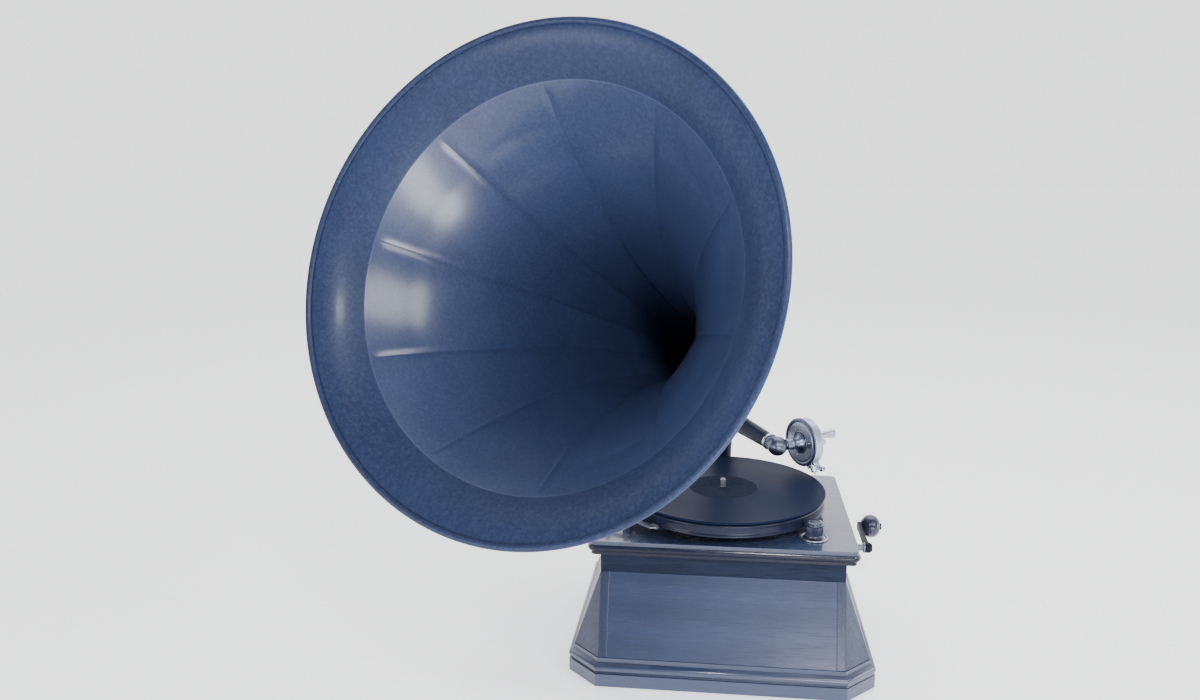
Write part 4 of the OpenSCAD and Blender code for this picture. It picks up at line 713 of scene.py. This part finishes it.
def addElbow():
    # a straight tube, an arc of a circle and a straight tube in one plane, with turned beads where they join
    bend, radius = radians(90 - horn["rise"]), horn["bendR"]
    run = radius * tan(bend / 2)
    low = np.array([horn["foot"] - horn["elbowZ"], -run - 12, -run])
    turn = np.linspace(0, bend, 26)
    arc = np.column_stack([radius * (1 - np.cos(turn)), 0 * turn, -run + radius * np.sin(turn)])
    straight = np.array([sin(bend), 0, cos(bend)]) * np.array([run + 1.5, run + 40])[:, None]
    centres = np.concatenate([np.column_stack([0 * low, 0 * low, low]), arc, straight])
    tilt = np.concatenate([0 * low, turn, [bend, bend]])
    across = np.column_stack([np.cos(tilt), 0 * tilt, -np.sin(tilt)])
    upward = np.tile([0.0, 1.0, 0.0], (len(tilt), 1))
    radii = np.full(len(tilt), horn["elbowR"])
    parts = [sweep(centres, across, upward, radii, 72, atElbow, horn["elbowWall"])]
    for z, place in ((-run - 1.2, atElbow), (run + 1, alongHorn)):
        parts.append(softRing([[19, z - 2], [21.4, z - 2], [21.4, z + 2], [19, z + 2]], 1.4, 5, 96, place))
    addPiece("hornElbow", parts, "horn", "japanBlack", ["horn_elbow"])


def addFerrule():  # a turned sleeve with a bead near each end, over the elbow's tube
    r = horn["throat"]
    profile = [[20.1, 24.1], [r + 2, 24.1], [r + 2, 27], [r - 0.3, 28], [r - 0.3, 58.4], [r + 1.6, 58.9],
               [r + 1.6, 61.9], [r - 0.3, 61.9], [r - 0.3, 73], [18.6, 73], [18.6, 61.4], [20.1, 61.2]]
    turned = softRing(profile, 0.7, 3, 96, alongHorn)
    addPiece("hornFerrule", [turned], "horn", "japanBlack", ["horn_ferrule"])


addBell()
addBrim()
addElbow()
addFerrule()
print("the horn is built")


# tone arm with its ball, and the sound box
def addToneArm():
    # a hollow boss and a tapered tube run together as one casting, with a turned bead at each open end
    low, top, r, bore, pin = (arm[key] for key in ("bossLow", "bossTop", "boss", "bossBore", "pinBore"))
    root, tip, end, seat = arm["root"], arm["end"], arm["tube"], low + arm["bossFloor"]
    boss = [[pin, low], [r - 0.6, low], [r, low + 1], [r, top - 3.4], [r + 1.2, top - 2.8],
            [r + 1.2, top - 0.4], [bore, top - 0.4], [bore, seat], [pin, seat]]
    tube = [[0, 9], [root, 9], [tip + 0.05, end - 1], [0, end - 1]]
    swell = [[0, 13], [root + 2.2, 14], [root + 0.6, 21], [root - 0.8, 27], [0, 28]]
    parts = [softRing(boss, 0.6, 3, 120, atArm), lathe(tube, 96, alongArm)]
    parts.append(lathe(softCorners(swell, 3, 4), 96, alongArm))
    fuse(addPiece("toneArm", parts, "arm", "japanBlack", ["tone_arm"]), 0.8, 9)
    bead = [[tip - 1.5, end - 4.6], [tip + 0.7, end - 4.4], [tip + 1, end - 3.2], [tip + 1, end - 1.4],
            [tip + 0.5, end - 0.05], [tip - 1.5, end - 0.05]]
    lip = [[bore + 0.1, top - 3], [r + 0.9, top - 3], [r + 1.5, top - 2.2], [r + 1.5, top - 0.8],
           [r + 0.9, top], [bore + 0.1, top]]
    beads = [softRing(bead, 0.5, 3, 96, alongArm), softRing(lip, 0.5, 3, 128, atArm)]
    addPiece("armBeads", beads, "arm", "nickel")


def addArmBall():
    # half a circle carried round makes the ball, and a knurled collar joins it to the tube
    r, end = arm["ball"], arm["tube"]
    wide = arm["end"] - 0.6
    turn = np.linspace(0, pi, 40)
    ball = np.column_stack([r * np.sin(turn), -r * np.cos(turn)])
    wall = [[wide, end + z] for z in (1, 2, 3.5, 5, 5.8)]
    collar = [[0, end + 0.3], [wide - 0.4, end + 0.3]] + wall
    collar += [[wide - 0.6, end + 6.6], [wide - 2, end + 9.5], [0, end + 9.5]]
    teeth = knurl(wide - 0.3, end + 1.2, end + 5.4, 0.16, 60, proud=0.16)
    parts = [lathe(ball, 96, atBox), lathe(collar, 480, alongArm, flute=teeth)]
    addPiece("armBall", parts, "arm", "shadedBallNickel", ["arm_ball"], 34)


box = {
    "near": 36, "thick": 12, "radius": 31, "wall": 4, "back": 3, "bore": 3.5, "neck": 7, "trunnion": 5,
    "rake": 33, "earY": 6.5, "screws": 3, "screwR": 18.5, "barX": -5, "barHalf": 3,
}


def addBoxHousing():
    # a turned cup: swivel neck, swelling root, stepped back with a grooved bead, wall and open front
    a, r, bore, neck, pin = (box[key] for key in ("near", "radius", "bore", "neck", "trunnion"))
    inner, floorZ, end = r - box["wall"], a + box["back"], a + box["thick"]
    profile = [
        [bore, 2.2], [pin, 2.2], [pin, 12.9], [neck, 12.9], [neck, 20], [neck + 0.6, 20.6],
        [neck + 0.6, 22.4], [neck, 23], [neck, 27], [neck + 0.7, 30.5], [neck + 3, 34], [neck + 6, a - 0.6],
        [neck + 7.5, a + 0.1], [r - 6.6, a + 0.1], [r - 5.6, a + 0.7], [r - 4.4, a + 0.7], [r - 3.6, a + 0.1],
        [r - 1, a + 0.1], [r + 0.2, a + 0.6], [r + 0.5, a + 1.6], [r + 0.1, a + 2.6], [r, a + 3.4],
        [r, end - 0.6], [r - 0.6, end], [inner, end], [inner, floorZ], [bore, floorZ],
    ]
    parts = [softRing(profile, 0.5, 3, 192, atBox)]
    low = a + box["thick"] / 2 - 1.4
    for y in (-box["earY"], box["earY"]):
        ear = [[r - 2, y - 1.5], [r + 3.2, y - 1.5], [r + 4, y], [r + 3.2, y + 1.5], [r - 2, y + 1.5]]
        parts.append(plank(ear, low, low + 5.8, atBox @ turnedBy(-box["rake"], "Z"), 0.3, 0.6))
    addPiece("boxHousing", parts, "sound_box", "soundBoxNickel", ["box_housing"], 34)
    flange = [[neck + 1.5, a - 1], [13.4, a - 1], [14, a - 0.4], [14, a + 0.3], [neck + 1.5, a + 0.3]]
    addPiece("boxFlange", [softRing(flange, 0.4, 2, 96, atBox)], "sound_box", "ebonisedKnob")
    heads = []
    for i in range(box["screws"]):
        spot = atBox @ turnedBy(360 / box["screws"] * i + 20, "Z") @ moved(box["screwR"], 0, a + 0.15)
        heads += slottedHead(2.0, 1.0, spot @ turnedBy(180, "X") @ turnedBy(40 * i, "Z"), 0.3, 0.6)
    addPiece("boxScrews", heads, "sound_box", "groundSteel")


def addBoxFront():
    # a flat ring with stepped edges, a bridge on two feet, and a turned lifting knob with finger rings
    r, z = box["radius"] - 0.5, box["near"] + box["thick"]
    mid, half = box["barX"], box["barHalf"]
    ring = [[r - 7.5, z + 0.1], [r, z + 0.1], [r, z + 1.4], [r - 0.6, z + 2], [r - 2.6, z + 2],
            [r - 3, z + 1.6], [r - 5, z + 1.6], [r - 5.4, z + 2], [r - 7, z + 2], [r - 7.5, z + 1.5]]
    bar = [[mid - half, -r + 3.5], [mid - 2, -r + 2.5], [mid + 2, -r + 2.5], [mid + half, -r + 3.5],
           [mid + half, r - 3.5], [mid + 2, r - 2.5], [mid - 2, r - 2.5], [mid - half, r - 3.5]]
    parts = [softRing(ring, 0.25, 2, 192, atBox), plank(bar, z + 5, z + 7, atBox, 0.4, 1.5)]
    for side in (-1, 1):
        y = side * (box["radius"] - 5)
        foot = [[mid - half, y - 2.5], [mid + half, y - 2.5], [mid + half, y + 2.5], [mid - half, y + 2.5]]
        parts.append(plank(foot, z + 1.1, z + 6.1, atBox, 0.3, 0.8))
        parts += slottedHead(1.9, 1.1, atBox @ moved(mid, y, z + 6.9) @ turnedBy(35 * side, "Z"), 0.3, 0.6)
    knob = [[0, 0], [10.2, 0], [10.5, 0.5], [10.2, 1.4], [8.6, 3.2], [6.6, 6.6], [5.3, 10], [4.6, 12],
            [4.4, 14.5], [4.7, 15.2], [4.4, 15.9], [4.3, 20], [4.6, 24], [4.9, 27], [5.6, 31.5], [6, 34.5],
            [5.9, 36.4], [5.2, 38], [3.4, 38.9], [0, 39]]
    parts.append(softKnob(knob, 0.6, 3, 96, atBox @ moved(mid, 0, z + 5)))
    addPiece("boxFront", parts, "sound_box", "soundBoxNickel", ["box_front"], 34)


addToneArm()
addArmBall()
addBoxHousing()
addBoxFront()
print("the tone arm and the sound box are built")


# crank
crank = {"x": 178, "y": 6, "z": 114, "throw": 74, "thick": 4.5, "hub": 6.5, "tip": 5.4, "pin": 3, "bore": 3.1,
         "knob": 15, "knobLong": 24.5}
atCrank = moved(crank["x"], crank["y"], crank["z"]) @ turnedBy(90, "Y")


def addCrankArm():
    # a forged arm with a round hub and end, the knob's pin with its slotted screw, and a nut on the hub
    throw, thick, hub, long = (crank[key] for key in ("throw", "thick", "hub", "knobLong"))
    lower, upper = np.radians(np.linspace(193, 347, 15)), np.radians(np.linspace(-8, 188, 15))
    hubEnd, pinEnd = circle(hub, lower), circle(crank["tip"], upper) + [0, throw]
    right = np.array([[5.3, 12], [4.1, throw * 0.6]])
    outline = np.concatenate([hubEnd, right, pinEnd, right[::-1] * [-1, 1]])
    boss = [[0, 0.3], [hub, 0.3], [hub, thick + 1.6], [hub - 0.7, thick + 2.3], [hub - 1.6, thick + 2.5],
            [0, thick + 2.5]]
    collar = [[0, thick], [5.2, thick], [4.4, thick + 0.25], [0, thick + 0.25]]
    end = atCrank @ moved(0, throw, 0)
    parts = [plank(outline, 0.1, thick, atCrank, 0.9, 0.6), softKnob(boss, 0.4, 3, 96, atCrank),
             lathe(collar, 64, end), peg(crank["pin"], 2, thick + long + 0.8, 64, end)]
    parts += slottedHead(5.0, 1.7, atCrank @ moved(0, 0, thick + 2.3) @ turnedBy(25, "Z"), 0.5, 1.1)
    cap = atCrank @ moved(0, throw, thick + long + 0.7) @ turnedBy(70, "Z")
    parts += slottedHead(4.4, 1.3, cap, 0.4, 1.0)
    addPiece("crankArm", parts, "winder", "crankBlack", ["crank_arm"], 34)


def addCrankKnob():
    # a turned head on a short collar, with two fine grooves round its middle
    long, reach, bore = crank["knobLong"], crank["knob"], crank["bore"]
    half = long / 2
    turn = np.radians(np.linspace(-78, 90, 34))
    head = [reach - half, half] + circle(half, turn)
    groove = lambda z: np.exp(-((head[:, 1] - half + z) / 0.5) ** 2)
    head[:, 0] -= 0.35 * (groove(-2) + groove(2))
    coarse, close = np.linspace(0, 1, len(head)), np.linspace(0, 1, 120)
    fine = np.column_stack([np.interp(close, coarse, head[:, k]) for k in (0, 1)])
    low = [[bore, 0], [reach * 0.5, 0], [reach * 0.5 + 0.4, 0.6]]
    profile = np.concatenate([low, fine[fine[:, 0] > bore + 0.3], [[bore, long]]])
    place = atCrank @ moved(0, crank["throw"], crank["thick"] + 0.3)
    turned = lathe(profile, 120, place, closed=True)
    addPiece("crankKnob", [turned], "crank_grip", "ebonisedKnob", ["crank_knob"], 40)


addCrankArm()
addCrankKnob()
print("the crank is built")


# regulator, bracket, screws and brake
regulator = {
    "x": 104.44, "y": -94.58, "knob": 10.5, "knobLow": 166.3, "high": 18, "pointerTurn": -60, "shaft": 2.5,
    "shaftLow": 136.5, "foot": 5, "camX": 4, "cam": 1.5, "camLow": 133, "plate": 16, "bore": 3, "ticks": 11,
    "tickTurn": 14, "tickStart": -130,
}


def addRegulator():
    # the knob is a knurled drum with a stepped top and a pointer, the plate a thin dial with a bead and bars
    r, z, foot = regulator["knob"], regulator["knobLow"], regulator["shaftLow"]
    top, place = z + regulator["high"], moved(regulator["x"], regulator["y"], 0)
    wall = [[r - 0.35, z + k] for k in (3, 3.5, 5, 7, 9, 11, 12.5, 13.4)]
    drum = [[0, z], [r - 1.4, z], [r - 0.1, z + 0.5], [r - 0.1, z + 2], [r - 0.3, z + 2.5]] + wall
    drum += [[r - 0.3, top - 4], [r - 0.1, top - 3.4], [r - 0.3, top - 1.6], [r - 1.2, top - 0.5],
             [r - 2.4, top], [r - 4.4, top], [r - 5, top - 0.6], [0, top - 0.6]]
    wide, thin = regulator["foot"], regulator["shaft"]
    shaft = [[0, foot], [wide, foot], [wide, foot + 2], [thin, foot + 2], [thin, z + 1], [0, z + 1]]
    pointer = [[r - 4.6, -0.7], [r - 1.4, -0.4], [r - 1.4, 0.4], [r - 4.6, 0.7]]
    pointing = place @ turnedBy(regulator["pointerTurn"], "Z")
    teeth = knurl(r - 0.7, z + 2.6, top - 4.2, 0.28, 44)
    camPlace = place @ moved(regulator["camX"], 0, 0)
    parts = [lathe(drum, 352, place, flute=teeth), lathe(shaft, 48, place),
             peg(regulator["cam"], regulator["camLow"], foot + 1.5, 32, camPlace),
             plank(pointer, top - 0.6, top + 0.35, pointing, 0.15, 0.3)]
    addPiece("regulatorKnob", parts, "regulator", "ebonisedKnob", ["regulator_knob"], 36)
    out, low, bore = regulator["plate"], case["lidTop"], regulator["bore"]
    dial = [[bore, low], [out - 0.9, low], [out, low + 0.5], [out, low + 1.3], [out - 0.6, low + 1.9],
            [out - 1.4, low + 1.95], [out - 2.2, low + 1.6], [out - 2.6, low + 1.05], [bore, low + 1.0]]
    parts = [softRing(dial, 0.3, 3, 160, place)]
    for k in range(regulator["ticks"]):
        half = 0.35 if k % 5 else 0.55
        bar = [[out - 4.6, -half], [out - 2.8, -half], [out - 2.8, half], [out - 4.6, half]]
        turn = turnedBy(regulator["tickStart"] + regulator["tickTurn"] * k, "Z")
        parts.append(plank(bar, low + 0.95, low + 1.35, place @ turn, 0.08, 0.1))
    addPiece("regulatorPlate", parts, "case", "nickel", ["regulator_plate"], 34)


bracket = {
    "lean": 18.8, "footZ": 88, "footWide": 70, "footHigh": 58, "footThick": 6, "footEdge": 9, "neckY": 125.5,
    "neckZ": 125, "column": 12, "columnTop": 213.4, "ringZ": 261.6, "ringHigh": 16, "ring": 27, "bore": 20.05,
    "seat": 18.5, "link": 7, "linkBack": 38, "linkBend": 14, "clampTurn": 35, "clampTip": 20.35,
}
leanSlope = tan(radians(bracket["lean"]))
rearY = bracket["neckY"] + (bracket["neckZ"] - bracket["footZ"]) * leanSlope
atRear = moved(0, rearY, bracket["footZ"]) @ turnedBy(bracket["lean"] - 90, "X")
atBack = moved(0, arm["back"], 0)
footHalf = (bracket["footWide"] / 2, bracket["footHigh"] / 2)
footCorners = [(x * (footHalf[0] - bracket["footEdge"]), y * (footHalf[1] - bracket["footEdge"]))
               for x in (-1, 1) for y in (-1, 1)]
uprightPlane = Matrix(((0, 0, 1, 0), (1, 0, 0, 0), (0, 1, 0, 0), (0, 0, 0, 1)))


def addBracket():
    # one casting: foot plate, web, turned column, and a bar from the column's back round to the ring
    (w, h), back, low = footHalf, arm["back"], bracket["footZ"] - 14
    rear = lambda z: bracket["neckY"] + (bracket["neckZ"] - z) * leanSlope + bracket["footThick"] / 2
    web = [[rear(64), 64], [back, 78], [back, 152], [rear(112), 112]]
    parts = [plank([[-w, -h], [w, -h], [w, h], [-w, h]], 0.1, bracket["footThick"], atRear, 0.8, 5),
             plank(web, -5, 5, uprightPlane, 0.8, 2)]
    r, top = bracket["column"], bracket["columnTop"]
    column = [[0, low - 8.8], [5, low - 8.4], [r - 0.4, low + 0.5], [r, low + 2.5], [r, low + 40],
              [r, top - 24], [r + 0.6, top - 18.6], [r + 0.6, top - 5.6], [r + 3, top - 5], [r + 3, top],
              [0, top]]
    out, bore, seat = bracket["ring"], bracket["bore"], bracket["seat"]
    a, b = bracket["ringZ"], bracket["ringZ"] + bracket["ringHigh"]
    ring = [[seat, a], [out - 0.8, a], [out, a + 0.8], [out, a + 3], [out - 1, a + 4], [out - 1, b - 4],
            [out, b - 3], [out, b - 0.8], [out - 0.8, b], [bore + 0.3, b], [bore + 0.3, a + 2], [seat, a + 2]]
    parts += [lathe(column, 96, atBack), lathe(ring, 160, atBack, closed=True)]
    reach, barLow, barHigh = bracket["linkBack"], top - 12, a + bracket["ringHigh"] / 2
    corners = [[0, 0, barLow], [0, reach, barLow], [0, reach, barHigh], [0, bore + 4, barHigh]]
    line, across, upward = levelPath(corners, bracket["linkBend"])
    parts.append(sweep(line, across, upward, np.full(len(line), bracket["link"]), 48, atBack))
    fuse(addPiece("hornBracket", parts, "case", "japanBlack", ["horn_bracket"]), 0.9, 6)


motorScrews = [(-70, -24), (-70, 36), (92, -34), (92, 46)]


def addScrews():
    # slotted heads on plain shanks in the bracket's foot and the lid, and the ring's knurled clamp screw
    heads = []
    for i, (x, y) in enumerate(footCorners):
        place = atRear @ moved(x, y, bracket["footThick"] + 0.1) @ turnedBy(50 * i, "Z")
        heads += slottedHead(4.0, 1.7, place, 0.5, 0.9) + [peg(1.5, -13, 0.2, 32, place)]
    addPiece("bracketScrews", heads, "case", "groundSteel", ["bracket_screws"], 34)
    heads = []
    for i, (x, y) in enumerate(motorScrews):
        place = moved(x, y, case["lidTop"] + 0.05) @ turnedBy(65 * i, "Z")
        heads += slottedHead(5.0, 2.0, place, 0.6, 1.0) + [peg(2.35, -27, 0.4, 40, place)]
    addPiece("motorScrews", heads, "case", "groundSteel", ["motor_screws"], 34)
    place = atBack @ moved(0, 0, bracket["ringZ"] + bracket["ringHigh"] / 2)
    place = place @ turnedBy(bracket["clampTurn"], "Z") @ turnedBy(90, "Y")
    start, grip = bracket["clampTip"], bracket["ring"] + 4
    head = [[0, grip - 0.9], [3.4, grip - 0.9], [3.8, grip], [5.5, grip]]
    head += [[5.9, grip + z] for z in (0.5, 1, 2, 3, 4, 4.5)]
    head += [[5.3, grip + 5], [2.2, grip + 5], [1.8, grip + 4.6], [0, grip + 4.6]]
    shank = [[0, start], [2.2, start], [2.5, start + 0.6], [2.5, grip], [0, grip]]
    teeth = knurl(5.2, grip + 0.9, grip + 4.1, 0.22, 28)
    parts = [lathe(head, 224, place, flute=teeth), lathe(shank, 40, place)]
    addPiece("hornClampScrew", parts, "horn_clamp", "nickel", ["horn_clamp_screw"], 34)


brake = {
    "x": -112, "y": -88, "z": 175.0, "thick": 1.95, "padTurn": 232, "gap": 1, "post": 2.98, "postLow": 152,
}


def addBrake():
    # a flat lever with soft corners, a turned grip, a pad at the platter, and a shouldered post with a cap
    z, thick, r, low = brake["z"], brake["thick"], brake["post"], case["lidTop"]
    turn = radians(brake["padTurn"])
    pad = np.array([cos(turn), sin(turn)]) * (case["platterR"] + brake["gap"]) + [0, case["spindleY"]]
    reach = pad - [brake["x"], brake["y"]]
    place = moved(brake["x"], brake["y"], z)
    long = [[-5, -4], [5, -6], reach + [-7, -10], reach + [2, -8], reach + [-1, -4], [3, 5]]
    tail = [[-24, 13], [-27, 8], [-6, -3], [3, 5]]
    hub = [[3.05, 0], [6, 0], [6, 2.1], [5.6, 2.3], [3.05, 2.3]]
    grip = [[0, 1], [2.4, 1], [2.2, 3], [1.7, 4.2], [2.2, 5], [3.3, 5.6], [3.5, 6.4], [3.2, 7.5], [2, 8],
            [0, 8]]
    parts = [plank(long, 0, thick, place, 0.3, 1.0), plank(tail, 0, thick, place, 0.3, 1.5),
             softRing(hub, 0.2, 2, 64, place), softKnob(grip, 0.4, 3, 48, place @ moved(-24, 10, 0))]
    addPiece("brakeLever", parts, "brake", "dulledSteel", ["brake_lever"], 34)
    padPlace = place @ moved(reach[0], reach[1], 0) @ turnedBy(brake["padTurn"], "Z")
    block = plank([[0, -5], [5, -5], [5, 5], [0, 5]], -2, 2, padPlace, 0.4, 0.8)
    addPiece("brakePad", [block], "brake", "felt")
    cap = z + 2.3
    post = [[0, brake["postLow"]], [r, brake["postLow"]], [r, low + 0.02], [7, low + 0.02], [7, low + 1.4],
            [6.2, low + 1.8], [5.4, low + 2.4], [5.4, z - 0.6], [5.1, z - 0.3], [r, z - 0.3], [r, cap],
            [0, cap]]
    parts = [lathe(post, 72, moved(brake["x"], brake["y"], 0))]
    parts += slottedHead(5.0, 2.4, moved(brake["x"], brake["y"], cap - 0.05) @ turnedBy(15, "Z"), 0.7, 1.1)
    addPiece("brakePost", parts, "case", "dulledSteel", ["brake_post"], 34)


addRegulator()
addBracket()
addScrews()
addBrake()
print("regulator, bracket, screws and brake are built")


# record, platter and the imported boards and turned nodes
record = {"radius": 125, "top": 192.0, "thick": 2.2, "bore": 3.65, "label": 42.5}
platter = {"low": 173.0, "high": 15.6, "bore": 3.8, "hub": 10.5}


def addRecord():
    # raised rim bead, grooved face a hair lower, flat label, and the same below
    top, r, thick, label = (record[key] for key in ("top", "radius", "thick", "label"))
    half = [[record["bore"], top - 0.05], [label, top - 0.05], [label + 0.7, top - 0.2], [121, top - 0.2],
            [122, top - 0.02], [r - 0.9, top], [r - 0.2, top - 0.5], [r, top - thick / 2]]
    low = [[a, 2 * top - thick - b] for a, b in half[::-1]]
    disc = softRing(half + low[1:], 0.25, 2, 256, atSpindle)
    addPiece("record", [disc], "turntable", "shellac", ["record"], 25)


def addPlatter():
    # a pressed dish: hub, flat plate and a turned-down rim rolled at its foot
    z, top, r = platter["low"], platter["low"] + platter["high"], case["platterR"]
    bore, hub = platter["bore"], platter["hub"]
    profile = [
        [bore, z + 6.8], [hub, z + 6.8], [hub, top - 2.6], [60, top - 2], [r - 5, top - 2],
        [r - 3.4, top - 3.4], [r - 2.6, z + 4.5], [r - 3.2, z + 2.4], [r - 3, z + 0.8], [r - 1.2, z],
        [r - 0.1, z + 0.9], [r - 0.1, z + 2.6], [r - 0.9, z + 4.2], [r - 0.9, top - 4.6],
        [r - 0.1, top - 3.4], [r - 0.2, top - 1.2], [r - 2.2, top], [bore, top],
    ]
    dish = softRing(profile, 1.1, 4, 256, atSpindle)
    addPiece("platter", [dish], "turntable", "platterJapan", ["platter"], 45)


boards = ["front_board", "rear_board", "left_board", "right_board", "corner_posts", "neck_frame",
          "bottom_board"]
edges = {"ease": 0.5, "easeFrom": 28, "steps": 2, "splitFrom": 32, "weld": 0.00001}


def easeEdges():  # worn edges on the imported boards: each sharp edge gets a small round bevel
    for name in boards:
        nodes[name].modifiers.new("weld", "WELD").merge_threshold = edges["weld"]
        bevel = nodes[name].modifiers.new("ease", "BEVEL")
        bevel.width = edges["ease"] * mm
        bevel.segments = edges["steps"]
        bevel.limit_method = "ANGLE"
        bevel.angle_limit = radians(edges["easeFrom"])
        bevel.harden_normals = False


def smoothTurned():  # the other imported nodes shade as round, with their corners kept
    for name in nodes:
        if name not in boards:
            nodes[name].data.shade_smooth()
            nodes[name].modifiers.new("weld", "WELD").merge_threshold = edges["weld"]
            nodes[name].modifiers.new("corners", "EDGE_SPLIT").split_angle = radians(edges["splitFrom"])


addRecord()
addPlatter()
easeEdges()
smoothTurned()
print("record, platter and boards are done")
